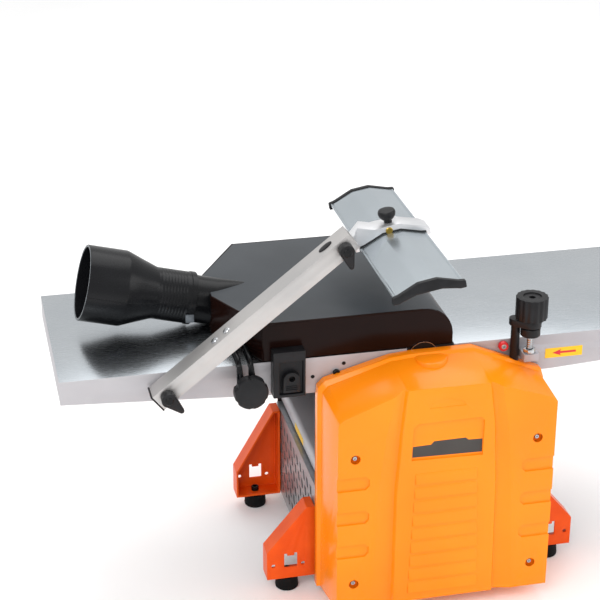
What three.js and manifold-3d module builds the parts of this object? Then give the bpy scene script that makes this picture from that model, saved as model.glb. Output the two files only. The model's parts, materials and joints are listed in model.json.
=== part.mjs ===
// A benchtop planer-thicknesser in millimetres, +Z up: a fixed outfeed table and a lowering infeed
// table over a two-knife cutter, a rising thickness table below it, and a chip hood and bridge guard.
// The origin is on the floor, under the cutter's axis and midway across the tables. Planing feeds
// timber along -X over the top, thicknessing along +X below, and the operator stands at -Y.
import * as THREE from "three";
import { mergeVertices } from "three/addons/utils/BufferGeometryUtils.js";
import Module from "manifold-3d";

const wasm = await Module();
wasm.setup();

// ---------------------------------------------------------------- driving dimensions
const TABLE_HEIGHT = 355;
const TABLE_WIDTH = 270;
const TABLE_LENGTH = 960; // both tables, end to end
const TABLE_MOUTH = 64; // opening between the tables, over the cutter
const TABLE_PLATE = 5;
const SKIRT_WALL = 3;
const SKIRT_END_DEPTH = 32;
const SKIRT_BODY_DEPTH = 50;
const CUTTER_RADIUS = 27; // circle swept by the knife edges
const CAPACITY = 120; // greatest timber thickness
const LIFT_TRAVEL = 114;
const BODY_LENGTH = 300; // the body along X
const PLATE_INNER = 128; // the side plates' inner faces, from the centre line
const PLATE_OUTER = 131;
const BODY_BOTTOM = 20;
const GAP = 0.3; // clearance between pieces that touch

const HALF_TABLE = TABLE_LENGTH / 2;
const HALF_WIDTH = TABLE_WIDTH / 2;
const HALF_BODY = BODY_LENGTH / 2;
const CUTTER_Z = TABLE_HEIGHT - CUTTER_RADIUS;
const SLAB_TOP = CUTTER_Z - CUTTER_RADIUS - CAPACITY;
const SLAB_THICKNESS = 20;

// Feed rollers and the gear train under the front cover
const ROLLER_X = 62;
const ROLLER_RADIUS = 17;
const ROLLER_Z = CUTTER_Z - CUTTER_RADIUS + ROLLER_RADIUS - 0.5;
const SPROCKET_RADIUS = 18;
const PINION_RADIUS = 8;
const WHEEL_RADIUS = [44, 42];
const MESH_GAP = 0.4;
const FIRST_WHEEL_Z = CUTTER_Z - PINION_RADIUS - WHEEL_RADIUS[0] - MESH_GAP;
const SECOND_WHEEL_Z = FIRST_WHEEL_Z - PINION_RADIUS - WHEEL_RADIUS[1] - MESH_GAP;
const BELT_LAYER = [-160, -143];
const CHAIN_LAYER = [-171, -162];
const SECOND_LAYER = [-182, -173];
const FIRST_LAYER = [-193, -184];
const STUB_RADIUS = 4;

// Motor and belt
const MOTOR_Z = 85;
const MOTOR_RADIUS = 54;
const MOTOR_PULLEY_RADIUS = 28;
const CUTTER_PULLEY_RADIUS = 13;

// Thickness table lift
const SCREW_X = 118;
const SCREW_Y = 150;
const SCREW_RADIUS = 7;
const LIFT_CHAIN_Z = [38, 44];
const CRANK_Z = 90;
const CRANK_RADIUS = 70;

// Covers
const COVER_RIM_Y = -136.5;
const COVER_BAND_Y = -150;
const COVER_FACE_Y = -218;
const COVER_WALL = 3;
const REAR_FACE_Y = 199;

// Chip hood and its hose adaptor
const HOOD_LEFT = { front: -222, rear: -211 };
const HOOD_RIGHT = 30;
const HOOD_HEIGHT = 54;
const HOOD_OUTLET_X = -270;
const HOOD_WALL = 3;
const SPOUT_TILT = THREE.MathUtils.degToRad(14.2);
const SPOUT_RADIUS = 31.5;
const MOUTH = [-433, TABLE_HEIGHT + 73.7]; // centre of the adaptor's wide mouth, in X and Z
const ADAPTOR_LENGTH = 147;

// Guard, its arm and its holder
const ARM_PIVOT = [-349.6, TABLE_HEIGHT - 15.6];
const TILT_PIVOT = [-125.1, TABLE_HEIGHT + 162];
const ARM_HEIGHT = 23.4;
const ARM_Y = [-170, -140];
const ARM_WALL = 2;
const ARM_OVERHANG = 15; // from each pivot to the arm's end
const PIVOT_RADIUS = 4;
const GUARD_CENTRE = [-46, TABLE_HEIGHT + 141];
const GUARD_TILT = THREE.MathUtils.degToRad(10);
const GUARD_Y = [-262, 52];
const CAP_THICKNESS = 7;
const HOLDER_Y = [-107, -80];
const HOLDER_EAR_Y = [-139.5, -131.5]; // behind the arm
const HOLDER_MIDDLE = (HOLDER_Y[0] + HOLDER_Y[1]) / 2;

// Infeed table depth adjuster
const DEPTH_POST = [112, -142.5];
const DEPTH_AXIS = [129, -152];

// ---------------------------------------------------------------- finishes
const finish = (color, roughness, metalness) =>
  new THREE.MeshStandardMaterial({ color, roughness, metalness });
const ALUMINIUM = finish(0xc9cbcd, 0.32, 1);
const STEEL = finish(0x9da0a3, 0.35, 1);
const GREY_PAINT = finish(0x77797c, 0.5, 0);
const ORANGE_PLASTIC = finish(0xff8a12, 0.3, 0);
const ORANGE_PAINT = finish(0xe2561a, 0.42, 0);
const BLACK_PLASTIC = finish(0x1b1c1e, 0.4, 0);
const RUBBER = finish(0x161617, 0.8, 0);
const RED_PLASTIC = finish(0xc4161c, 0.35, 0);
const GREEN_PLASTIC = finish(0x1f8a3b, 0.35, 0);

// ---------------------------------------------------------------- shaping helpers
// A closed geometry as a manifold-3d solid.
function solid(geometry) {
  const bare = new THREE.BufferGeometry();
  bare.setAttribute("position", geometry.getAttribute("position"));
  if (geometry.index) bare.setIndex(geometry.index);
  const merged = mergeVertices(bare, 1e-4);
  return new wasm.Manifold(
    new wasm.Mesh({
      numProp: 3,
      vertProperties: merged.attributes.position.array,
      triVerts: new Uint32Array(merged.index.array),
    }),
  );
}

function block([x0, x1], [y0, y1], [z0, z1]) {
  const box = new THREE.BoxGeometry(x1 - x0, y1 - y0, z1 - z0);
  return solid(box.translate((x0 + x1) / 2, (y0 + y1) / 2, (z0 + z1) / 2));
}

const BASES = {
  x: [new THREE.Vector3(0, 1, 0), new THREE.Vector3(0, 0, 1), new THREE.Vector3(1, 0, 0)],
  y: [new THREE.Vector3(0, 0, 1), new THREE.Vector3(1, 0, 0), new THREE.Vector3(0, 1, 0)],
  z: [new THREE.Vector3(1, 0, 0), new THREE.Vector3(0, 1, 0), new THREE.Vector3(0, 0, 1)],
};

// A flat outline carried along an axis. Outlines are (y, z) along x, (z, x) along y and (x, y) along z.
function prism(axis, outline, [from, to]) {
  const shape = new THREE.Shape(outline.map(([a, b]) => new THREE.Vector2(a, b)));
  const bar = new THREE.ExtrudeGeometry(shape, { depth: to - from, bevelEnabled: false });
  bar.translate(0, 0, from);
  return solid(bar.applyMatrix4(new THREE.Matrix4().makeBasis(...BASES[axis])));
}

// The same along Y, from an outline of (x, z) points.
const slab = (outline, span) => prism("y", outline.map(([x, z]) => [z, x]), span);

function circle(centre, radius, sides = 20) {
  return Array.from({ length: sides }, (_, i) => {
    const angle = (2 * Math.PI * i) / sides;
    return [centre[0] + radius * Math.cos(angle), centre[1] + radius * Math.sin(angle)];
  });
}

// A round bar along Y at (x, z), and one along Z at (x, y).
const rodY = (centre, radius, span, sides) => slab(circle(centre, radius, sides), span);
const rodZ = (centre, radius, span, sides) => prism("z", circle(centre, radius, sides), span);

// The smallest convex outline round some circles, for belts, chains and rounded plates.
function wrap(circles, grow = 0) {
  const points = circles.flatMap(([x, y, r]) => circle([x, y], r + grow, 24));
  points.sort((a, b) => a[0] - b[0] || a[1] - b[1]);
  const half = (list) => {
    const hull = [];
    for (const p of list) {
      while (hull.length > 1) {
        const [a, b] = hull.slice(-2);
        if ((b[0] - a[0]) * (p[1] - a[1]) - (b[1] - a[1]) * (p[0] - a[0]) > 0.01) break;
        hull.pop();
      }
      hull.push(p);
    }
    return hull.slice(0, -1);
  };
  return [...half(points), ...half([...points].reverse())];
}

// A skin over matching rings of 3-D points, closed at both ends. The rings run anticlockwise as
// seen from the first end, looking back from the last.
function loft(rings) {
  const count = rings[0].length;
  const position = rings.flat(2);
  const index = [];
  for (let r = 0; r + 1 < rings.length; r++)
    for (let i = 0; i < count; i++) {
      const [a, b] = [r * count + i, r * count + ((i + 1) % count)];
      index.push(a, b, b + count, a, b + count, a + count);
    }
  const last = (rings.length - 1) * count;
  for (let i = 1; i + 1 < count; i++) {
    index.push(0, i + 1, i);
    index.push(last, last + i, last + i + 1);
  }
  const skin = new THREE.BufferGeometry();
  skin.setAttribute("position", new THREE.Float32BufferAttribute(position, 3));
  const body = solid(skin.setIndex(index));
  if (body.volume() > 0) return body;
  return solid(skin.setIndex(index.reverse()));
}

// A profile of (radius, height) points turned about +Z, then laid along a direction from a point.
function turned(profile, origin, direction, sides = 24) {
  const lathe = new THREE.LatheGeometry(profile.map(([r, h]) => new THREE.Vector2(r, h)), sides);
  const up = new THREE.Vector3(0, 1, 0);
  lathe.applyQuaternion(new THREE.Quaternion().setFromUnitVectors(up, direction));
  return solid(lathe.translate(...origin));
}

// An anticlockwise convex outline moved inwards by a distance.
function inset(outline, distance) {
  const count = outline.length;
  return outline.map((p, i) => {
    const before = outline[(i + count - 1) % count];
    const after = outline[(i + 1) % count];
    const [ax, ay] = [p[0] - before[0], p[1] - before[1]];
    const [bx, by] = [after[0] - p[0], after[1] - p[1]];
    const [la, lb] = [Math.hypot(ax, ay), Math.hypot(bx, by)];
    const [nx, ny] = [-ay / la - by / lb, ax / la + bx / lb];
    const share = (2 * distance) / (nx * nx + ny * ny);
    return [p[0] + nx * share, p[1] + ny * share];
  });
}

const planer = new THREE.Group();
function add(name, body, material) {
  const made = body.getMesh();
  const geometry = new THREE.BufferGeometry();
  geometry.setAttribute("position", new THREE.BufferAttribute(made.vertProperties, 3));
  geometry.setIndex(new THREE.BufferAttribute(made.triVerts, 1));
  geometry.computeVertexNormals();
  const mesh = new THREE.Mesh(geometry, material);
  mesh.name = name;
  planer.add(mesh);
}

// A point given in a tilted frame in the XZ plane, as world X and Z.
const tilted = (centre, angle) => ([x, z]) => [
  centre[0] + x * Math.cos(angle) - z * Math.sin(angle),
  centre[1] + x * Math.sin(angle) + z * Math.cos(angle),
];

// ---------------------------------------------------------------- base and side plates
// Base: one folded sheet, a floor with an end wall at each side and a lip along each wall's top.
const SHEET = 1.5;
const END_WALL_TOP = 157;
const END_LIP = 10;
const baseProfile = [
  [-HALF_BODY, BODY_BOTTOM],
  [HALF_BODY, BODY_BOTTOM],
  [HALF_BODY, END_WALL_TOP],
  [HALF_BODY - END_LIP, END_WALL_TOP],
  [HALF_BODY - END_LIP, END_WALL_TOP - SHEET],
  [HALF_BODY - SHEET, END_WALL_TOP - SHEET],
  [HALF_BODY - SHEET, BODY_BOTTOM + SHEET],
  [SHEET - HALF_BODY, BODY_BOTTOM + SHEET],
  [SHEET - HALF_BODY, END_WALL_TOP - SHEET],
  [END_LIP - HALF_BODY, END_WALL_TOP - SHEET],
  [END_LIP - HALF_BODY, END_WALL_TOP],
  [-HALF_BODY, END_WALL_TOP],
];
add("base_tray", slab(baseProfile, [GAP - PLATE_INNER, PLATE_INNER - GAP]), GREY_PAINT);

// Side plates: steel cheeks with a lug up between the tables for the cutter's bearing, slots for
// the thickness table's ears, notches for the lift chain and shelves for the lift screws.
const CHEEK = HALF_BODY - 2;
const CHEEK_TOP = TABLE_HEIGHT - 10;
const EAR = [SCREW_X - 12, SCREW_X + 12];
const BEARING_RADIUS = 20;
const SHELVES = [[28, 33], [297, 300]];
function sidePlate(side) {
  const lug = TABLE_MOUTH / 2 - 2;
  const outline = [
    [-CHEEK, BODY_BOTTOM],
    [CHEEK, BODY_BOTTOM],
    [CHEEK, CHEEK_TOP],
    [lug, CHEEK_TOP],
    [lug, TABLE_HEIGHT - 1],
    [-lug, TABLE_HEIGHT - 1],
    [-lug, CHEEK_TOP],
    [-CHEEK, CHEEK_TOP],
  ];
  const across = (a, b) => [Math.min(side * a, side * b), Math.max(side * a, side * b)];
  const through = across(PLATE_INNER - 1, PLATE_OUTER + 1);
  let plate = slab(outline, across(PLATE_INNER, PLATE_OUTER));
  plate = plate.subtract(rodY([0, CUTTER_Z], BEARING_RADIUS + GAP, through));
  if (side < 0) plate = plate.subtract(rodY([0, MOTOR_Z], 12, through));
  for (const end of [-1, 1]) {
    plate = plate.subtract(rodY([end * ROLLER_X, ROLLER_Z], 6, through));
    const ear = EAR.map((x) => end * x + end * (x > SCREW_X ? 1.5 : -1.5)).sort((a, b) => a - b);
    const slotTop = SLAB_TOP + LIFT_TRAVEL + 1.5;
    plate = plate.subtract(block(ear, through, [SLAB_TOP - SLAB_THICKNESS - 1.5, slotTop]));
    const notch = [end * (SCREW_X + 13), end * (SCREW_X + 19)].sort((a, b) => a - b);
    plate = plate.subtract(block(notch, through, [LIFT_CHAIN_Z[0] - 1, LIFT_CHAIN_Z[1] + 1]));
    for (const shelf of SHELVES) {
      const reach = across(PLATE_OUTER - 1, SCREW_Y + 11);
      const span = EAR.map((x) => end * x).sort((a, b) => a - b);
      const hole = rodZ([end * SCREW_X, side * SCREW_Y], SCREW_RADIUS + 0.4, [0, TABLE_HEIGHT]);
      plate = plate.add(block(span, reach, shelf).subtract(hole));
    }
  }
  return plate;
}
const stub = (z, layer) => rodY([0, z], STUB_RADIUS, [layer[0] - 2, 1 - PLATE_OUTER], 16);
const frontPlate = sidePlate(-1).add(stub(FIRST_WHEEL_Z, FIRST_LAYER));
add("side_plate_front", frontPlate.add(stub(SECOND_WHEEL_Z, SECOND_LAYER)), GREY_PAINT);
add("side_plate_rear", sidePlate(1), GREY_PAINT);

// ---------------------------------------------------------------- foot brackets and feet
// Brackets: folded triangular gussets that widen the stance at each corner, open towards the
// middle. The front pair is shorter, to stay behind the front cover.
const BRACKET = { inner: HALF_BODY + 1, outer: 217, shoulder: 62, wall: 3 };
const BRACKET_TOP = { front: 128, rear: END_WALL_TOP };
const FOOT = { x: 187, y: 111, radius: 16 };
for (const [corner, sx, sy] of [
  ["rear_left", -1, 1],
  ["rear_right", 1, 1],
  ["front_left", -1, -1],
  ["front_right", 1, -1],
]) {
  const { inner, outer, shoulder, wall } = BRACKET;
  const top = sy > 0 ? BRACKET_TOP.rear : BRACKET_TOP.front;
  const outline = [
    [sx * inner, BODY_BOTTOM],
    [sx * outer, BODY_BOTTOM],
    [sx * outer, shoulder],
    [sx * (inner + 11), top],
    [sx * inner, top],
  ];
  const outward = sx > 0 ? outline : [...outline].reverse();
  const span = (a, b) => [sy * a, sy * b].sort((p, q) => p - q);
  const gusset = slab(outline, span(97, 125));
  const hollow = slab(inset(outward, wall), span(96, 125 - wall));
  add(`foot_bracket_${corner}`, gusset.subtract(hollow), ORANGE_PAINT);
  const { x, y, radius } = FOOT;
  const profile = [[0, 0], [radius - 2, 0], [radius, 2], [radius - 1, BODY_BOTTOM - GAP]];
  profile.push([0, BODY_BOTTOM - GAP]);
  const up = new THREE.Vector3(0, 0, 1);
  add(`rubber_foot_${corner}`, turned(profile, [sx * x, sy * y, 0], up, 24), RUBBER);
}

// ---------------------------------------------------------------- tables
// Each table: a flat plate with a skirt on both long sides, deeper towards the body, and an end wall.
function table(side) {
  const along = (a, b) => [side * a, side * b].sort((p, q) => p - q);
  const mouth = TABLE_MOUTH / 2;
  const skirt = [
    [side * mouth, TABLE_HEIGHT],
    [side * HALF_TABLE, TABLE_HEIGHT],
    [side * HALF_TABLE, TABLE_HEIGHT - SKIRT_END_DEPTH],
    [side * 165, TABLE_HEIGHT - SKIRT_BODY_DEPTH],
    [side * mouth, TABLE_HEIGHT - SKIRT_BODY_DEPTH],
  ];
  let body = block(
    along(mouth, HALF_TABLE),
    [-HALF_WIDTH, HALF_WIDTH],
    [TABLE_HEIGHT - TABLE_PLATE, TABLE_HEIGHT],
  );
  const endWall = along(HALF_TABLE - SKIRT_WALL, HALF_TABLE);
  const endHeight = [TABLE_HEIGHT - SKIRT_END_DEPTH, TABLE_HEIGHT];
  body = body.add(block(endWall, [-HALF_WIDTH, HALF_WIDTH], endHeight));
  for (const face of [-1, 1]) {
    const wall = [face * (HALF_WIDTH - SKIRT_WALL), face * HALF_WIDTH].sort((p, q) => p - q);
    const reach = [wall[0] - 1, wall[1] + 1];
    body = body.add(slab(skirt, wall));
    body = body.subtract(rodY([side * ROLLER_X, ROLLER_Z], 9.5, reach));
  }
  return body;
}
// Outfeed table, with the guard arm's pivot stud on its front skirt.
const studBoss = rodY(ARM_PIVOT, 9, [GAP + ARM_Y[1], 1 - HALF_WIDTH]);
const stud = rodY(ARM_PIVOT, PIVOT_RADIUS, [ARM_Y[0] - 5, 1 - HALF_WIDTH], 16);
add("outfeed_table", table(-1).add(studBoss).add(stud), ALUMINIUM);

// Infeed table, with a clearance hole for the depth bracket's stud and the depth spindle's nut.
const BRACKET_STUD_Z = TABLE_HEIGHT - 37;
const NUT_Z = [TABLE_HEIGHT - 24, TABLE_HEIGHT - 14];
const studHole = rodY([DEPTH_POST[0], BRACKET_STUD_Z], 9, [-HALF_WIDTH - 1, SKIRT_WALL - HALF_WIDTH + 1]);
const nut = block([DEPTH_AXIS[0] - 9, DEPTH_AXIS[0] + 11], [-160, 1 - HALF_WIDTH], NUT_Z);
const nutBore = rodZ(DEPTH_AXIS, PIVOT_RADIUS + 0.5, [NUT_Z[0] - 1, NUT_Z[1] + 1], 16);
add("infeed_table", table(1).subtract(studHole).add(nut.subtract(nutBore)), ALUMINIUM);

// ---------------------------------------------------------------- infeed depth adjuster
// A post bolted through the skirt to the side plate, whose head carries the depth knob's neck.
const HEAD_Z = [TABLE_HEIGHT + 24, TABLE_HEIGHT + 33];
const post = rodZ(DEPTH_POST, 6, [BRACKET_STUD_Z - 7, HEAD_Z[1]]);
const postStud = rodY([DEPTH_POST[0], BRACKET_STUD_Z], 4, [DEPTH_POST[1], -PLATE_OUTER - GAP], 16);
const headOutline = wrap([[...DEPTH_POST, 9], [...DEPTH_AXIS, 14]]);
const head = prism("z", headOutline, HEAD_Z).subtract(rodZ(DEPTH_AXIS, 10.6, [0, 400]));
add("depth_bracket", post.add(head).add(postStud), BLACK_PLASTIC);

// Depth knob: a fluted cap on a neck, with a collar under the bracket's head and a threaded spindle.
const CAP_Z = [TABLE_HEIGHT + 36, TABLE_HEIGHT + 66];
const fluted = Array.from({ length: 48 }, (_, i) => {
  const angle = (2 * Math.PI * i) / 48;
  const radius = 20.4 + 0.6 * Math.cos(12 * angle);
  return [DEPTH_AXIS[0] + radius * Math.cos(angle), DEPTH_AXIS[1] + radius * Math.sin(angle)];
});
const knobCap = prism("z", fluted, CAP_Z);
const neck = rodZ(DEPTH_AXIS, 10, [HEAD_Z[0] - 2, CAP_Z[0] + 1]);
const collar = rodZ(DEPTH_AXIS, 13, [TABLE_HEIGHT + 11, HEAD_Z[0] - 1]);
const spindle = rodZ(DEPTH_AXIS, PIVOT_RADIUS, [TABLE_HEIGHT - 27, TABLE_HEIGHT + 12], 16);
add("depth_knob", knobCap.add(neck).add(collar).add(spindle), BLACK_PLASTIC);

// Lock washer and screw on the infeed skirt.
const LOCK = [96, TABLE_HEIGHT - 8.5];
add("depth_lock_screw", rodY(LOCK, 6.5, [-142, -HALF_WIDTH - GAP]), RED_PLASTIC);

// ---------------------------------------------------------------- cutter
// Cutter block with its shaft, the gear train's first pinion and two slots for the knives.
const KNIFE = { reach: [13, CUTTER_RADIUS], half: 1.5, length: 126 };
const shaft = rodY([0, CUTTER_Z], 8.5, [-142, 136]).add(
  rodY([0, CUTTER_Z], 6, [FIRST_LAYER[0] - 2, -141]),
);
let cutter = rodY([0, CUTTER_Z], CUTTER_RADIUS - 2, [-126.4, 126.4], 32).add(shaft);
cutter = cutter.add(rodY([0, CUTTER_Z], PINION_RADIUS, FIRST_LAYER));
for (const side of [-1, 1]) {
  const depth = [CUTTER_Z + side * (KNIFE.reach[0] - GAP), CUTTER_Z + side * 40].sort((a, b) => a - b);
  const width = KNIFE.half + GAP;
  cutter = cutter.subtract(block([-width, width], [-128, 128], depth));
}
add("cutter_block", cutter, STEEL);
for (const [name, side] of [["cutter_knife_upper", 1], ["cutter_knife_lower", -1]]) {
  const [root, edge] = KNIFE.reach.map((r) => CUTTER_Z + side * r);
  const outline = [
    [-KNIFE.half, root],
    [KNIFE.half, root],
    [KNIFE.half, edge],
    [-KNIFE.half, edge - side * 4],
  ];
  add(name, slab(outline, [-KNIFE.length, KNIFE.length]), STEEL);
}
for (const [name, side] of [["cutter_bearing_front", -1], ["cutter_bearing_rear", 1]]) {
  const span = (a, b) => [side * a, side * b].sort((p, q) => p - q);
  const seat = rodY([0, CUTTER_Z], BEARING_RADIUS, span(PLATE_INNER - 1, 136));
  const flange = rodY([0, CUTTER_Z], 26, span(PLATE_OUTER + GAP, 135));
  add(name, seat.add(flange).subtract(rodY([0, CUTTER_Z], 9, span(100, 150))), STEEL);
}

// ---------------------------------------------------------------- motor and belt
const motorBody = rodY([0, MOTOR_Z], MOTOR_RADIUS, [-118, 62], 32);
const motorFoot = block([-40, 40], [-90, 40], [BODY_BOTTOM + SHEET + GAP, MOTOR_Z - 40]);
const motorNose = rodY([0, MOTOR_Z], 20, [-124, -117]);
const motorBore = rodY([0, MOTOR_Z], 7.5, [-130, -70]);
add("motor", motorBody.add(motorFoot).add(motorNose).subtract(motorBore), GREY_PAINT);
const motorPulley = rodY([0, MOTOR_Z], MOTOR_PULLEY_RADIUS, BELT_LAYER, 32);
add("motor_pulley", motorPulley.add(rodY([0, MOTOR_Z], 7, [BELT_LAYER[0], -72])), STEEL);
const cutterPulley = rodY([0, CUTTER_Z], CUTTER_PULLEY_RADIUS, BELT_LAYER);
add("cutter_pulley", cutterPulley.subtract(rodY([0, CUTTER_Z], 6.3, [-220, -140])), STEEL);

// A closed loop round some wheels, clear of them by a small gap.
function loop(axis, wheels, thickness, span) {
  const band = (grow) => {
    const outline = wrap(wheels, grow);
    return axis === "y" ? slab(outline, span) : prism("z", outline, span);
  };
  return band(thickness + MESH_GAP).subtract(band(MESH_GAP));
}
const beltWheels = [
  [0, MOTOR_Z, MOTOR_PULLEY_RADIUS],
  [0, CUTTER_Z, CUTTER_PULLEY_RADIUS],
];
add("drive_belt", loop("y", beltWheels, 3, [BELT_LAYER[0] + 1, BELT_LAYER[1] - 1]), RUBBER);

// ---------------------------------------------------------------- feed drive
// Two reduction wheels on the front plate's stub axles, then a chain to both feed rollers.
const axleBore = (z) => rodY([0, z], STUB_RADIUS + GAP, [-220, -140], 16);
const firstWheel = rodY([0, FIRST_WHEEL_Z], WHEEL_RADIUS[0], FIRST_LAYER, 40)
  .add(rodY([0, FIRST_WHEEL_Z], PINION_RADIUS, [FIRST_LAYER[1] - 1, SECOND_LAYER[1]]))
  .subtract(axleBore(FIRST_WHEEL_Z));
add("reduction_wheel_first", firstWheel, BLACK_PLASTIC);
const secondWheel = rodY([0, SECOND_WHEEL_Z], WHEEL_RADIUS[1], SECOND_LAYER, 40)
  .add(rodY([0, SECOND_WHEEL_Z], PINION_RADIUS, [SECOND_LAYER[1] - 1, CHAIN_LAYER[1]]))
  .subtract(axleBore(SECOND_WHEEL_Z));
add("reduction_wheel_second", secondWheel, BLACK_PLASTIC);
const feedWheels = [
  [0, SECOND_WHEEL_Z, PINION_RADIUS],
  [-ROLLER_X, ROLLER_Z, SPROCKET_RADIUS],
  [ROLLER_X, ROLLER_Z, SPROCKET_RADIUS],
];
add("feed_chain", loop("y", feedWheels, 3, [CHAIN_LAYER[0] + 1, CHAIN_LAYER[1] - 1]), STEEL);
for (const [name, side] of [["feed_roller_infeed", -1], ["feed_roller_outfeed", 1]]) {
  const centre = [side * ROLLER_X, ROLLER_Z];
  const roller = rodY(centre, ROLLER_RADIUS, [-126, 126]).add(rodY(centre, 5, [CHAIN_LAYER[0], 136], 16));
  add(name, roller.add(rodY(centre, SPROCKET_RADIUS, CHAIN_LAYER)), STEEL);
}

// Anti-kickback pawls: a row of fingers on a bar that swings between the side plates.
const PAWL_PIVOT = [-100, 324];
let pawls = rodY(PAWL_PIVOT, 5, [-127, 127], 16);
const PAWL_COUNT = 10;
for (let i = 0; i < PAWL_COUNT; i++) {
  const y = (i - (PAWL_COUNT - 1) / 2) * 24;
  const [px, pz] = PAWL_PIVOT;
  const finger = [[px - 6, pz], [px + 6, pz], [px + 6, pz - 27], [px - 4, pz - 22]];
  pawls = pawls.add(slab(finger, [y - 3, y + 3]));
}
add("anti_kickback_pawls", pawls, STEEL);

// ---------------------------------------------------------------- thickness table and its lift
// The table's ears pass through the side plates' slots to the four lift screws.
const SLAB_X = 143;
const edge = 6;
const slabOutline = [
  ...circle([SLAB_X - edge, SLAB_TOP - edge], edge, 16).slice(0, 5),
  ...circle([edge - SLAB_X, SLAB_TOP - edge], edge, 16).slice(4, 9),
  [-SLAB_X, SLAB_TOP - SLAB_THICKNESS],
  [SLAB_X, SLAB_TOP - SLAB_THICKNESS],
];
let thicknessTable = slab(slabOutline, [-126.5, 126.5]);
for (const sx of [-1, 1])
  for (const sy of [-1, 1]) {
    const ear = block(
      EAR.map((x) => sx * x).sort((a, b) => a - b),
      [sy * 125, sy * (SCREW_Y + 10)].sort((a, b) => a - b),
      [SLAB_TOP - SLAB_THICKNESS, SLAB_TOP - 2],
    );
    const bore = rodZ([sx * SCREW_X, sy * SCREW_Y], SCREW_RADIUS + 0.4, [100, 200]);
    thicknessTable = thicknessTable.add(ear.subtract(bore));
  }
for (const x of [-92, -31, 31, 92]) {
  const pocket = [SLAB_TOP - SLAB_THICKNESS - 1, SLAB_TOP - 9];
  thicknessTable = thicknessTable.subtract(block([x - 27, x + 27], [-112, 112], pocket));
}
add("thickness_table", thicknessTable, ALUMINIUM);

const CONE = [15.6, 8.6]; // the bevel gears' large and small radii
for (const [corner, sx, sy] of [
  ["rear_left", -1, 1],
  ["rear_right", 1, 1],
  ["front_left", -1, -1],
  ["front_right", 1, -1],
]) {
  const centre = [sx * SCREW_X, sy * SCREW_Y];
  let screw = rodZ(centre, SCREW_RADIUS, [SHELVES[0][0], SHELVES[1][1]], 20);
  screw = screw.add(rodZ(centre, 14, LIFT_CHAIN_Z));
  if (corner === "rear_right") {
    const [wide, narrow] = CONE;
    const bevel = [[0, 0], [wide, 0], [narrow, wide - narrow], [0, wide - narrow]];
    screw = screw.add(turned(bevel, [...centre, CRANK_Z - 16], new THREE.Vector3(0, 0, 1), 24));
  }
  add(`lift_screw_${corner}`, screw, STEEL);
}
const screwCorners = [[-1, -1], [-1, 1], [1, -1], [1, 1]];
const liftWheels = screwCorners.map(([sx, sy]) => [sx * SCREW_X, sy * SCREW_Y, 14]);
add("lift_chain", loop("z", liftWheels, 3, [LIFT_CHAIN_Z[0] + 1, LIFT_CHAIN_Z[1] - 1]), STEEL);

// Crank: a bevel gear on a shaft out through the rear cover, with an arm and a turning grip.
const toRear = new THREE.Vector3(0, 1, 0);
const crankBevel = [[0, 0], [CONE[1], 0], [CONE[0], CONE[0] - CONE[1]], [0, CONE[0] - CONE[1]]];
const crankGear = turned(crankBevel, [SCREW_X, SCREW_Y + 9, CRANK_Z], toRear, 24);
const crankShaft = rodY([SCREW_X, CRANK_Z], 6, [SCREW_Y + 12, 211], 16);
const crankWeb = slab(wrap([[SCREW_X, CRANK_Z, 11], [SCREW_X, CRANK_Z + CRANK_RADIUS, 9]]), [204, 211]);
const gripPin = rodY([SCREW_X, CRANK_Z + CRANK_RADIUS], 4, [210, 266], 16);
add("lift_crank", crankGear.add(crankShaft).add(crankWeb).add(gripPin), STEEL);
const gripProfile = [[4.4, 0], [8, 0], [11, 8], [12, 26], [10, 44], [8, 57], [4.4, 57]];
gripProfile.push(gripProfile[0]);
const gripStart = [SCREW_X, 212, CRANK_Z + CRANK_RADIUS];
add("crank_grip", turned(gripProfile, gripStart, toRear, 24), BLACK_PLASTIC);

// ---------------------------------------------------------------- covers
// Front cover: a moulded shell whose band steps back to a smaller face.
const ring = (outline, y) => outline.map(([x, z]) => [x, y, z]);
const rim = [
  [-154, 18],
  [152, 18],
  [152, 301],
  [148, 314],
  [53, 354],
  [-30, 353.5],
  [-58, 351],
  [-144, 327],
  [-153, 318],
  [-154, 305],
];
const face = [
  [-144, 24],
  [147, 24],
  [147.4, 303],
  [144, 307.5],
  [53, 337],
  [-30, 338.5],
  [-53, 338],
  [-134, 305],
  [-142, 301],
  [-143.5, 296],
];
const coverShell = loft([ring(rim, COVER_RIM_Y), ring(rim, COVER_BAND_Y), ring(face, COVER_FACE_Y)]);
const coverRoom = loft([
  ring(inset(rim, COVER_WALL), COVER_RIM_Y + 1),
  ring(inset(rim, COVER_WALL), COVER_BAND_Y),
  ring(inset(face, COVER_WALL), COVER_FACE_Y + COVER_WALL),
]);
const postNotch = block([DEPTH_POST[0] - 7.5, DEPTH_POST[0] + 7.5], [-150, -136], [300, 345]);
add("front_cover", coverShell.subtract(coverRoom).subtract(postNotch), ORANGE_PLASTIC);

// Rear cover: a plain tapered shell with a hole for the crank's shaft.
const rearRim = [
  [-140, 20],
  [140, 20],
  [140, 306],
  [126, 318],
  [-126, 318],
  [-140, 306],
];
const rearShell = loft([ring(rearRim, 136.5), ring(inset(rearRim, 6), REAR_FACE_Y)]);
const rearRoom = loft([
  ring(inset(rearRim, COVER_WALL), 135.5),
  ring(inset(rearRim, COVER_WALL + 6), REAR_FACE_Y - COVER_WALL),
]);
const crankHole = rodY([SCREW_X, CRANK_Z], 7.5, [180, 210]);
add("rear_cover", rearShell.subtract(rearRoom).subtract(crankHole), ORANGE_PLASTIC);

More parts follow.
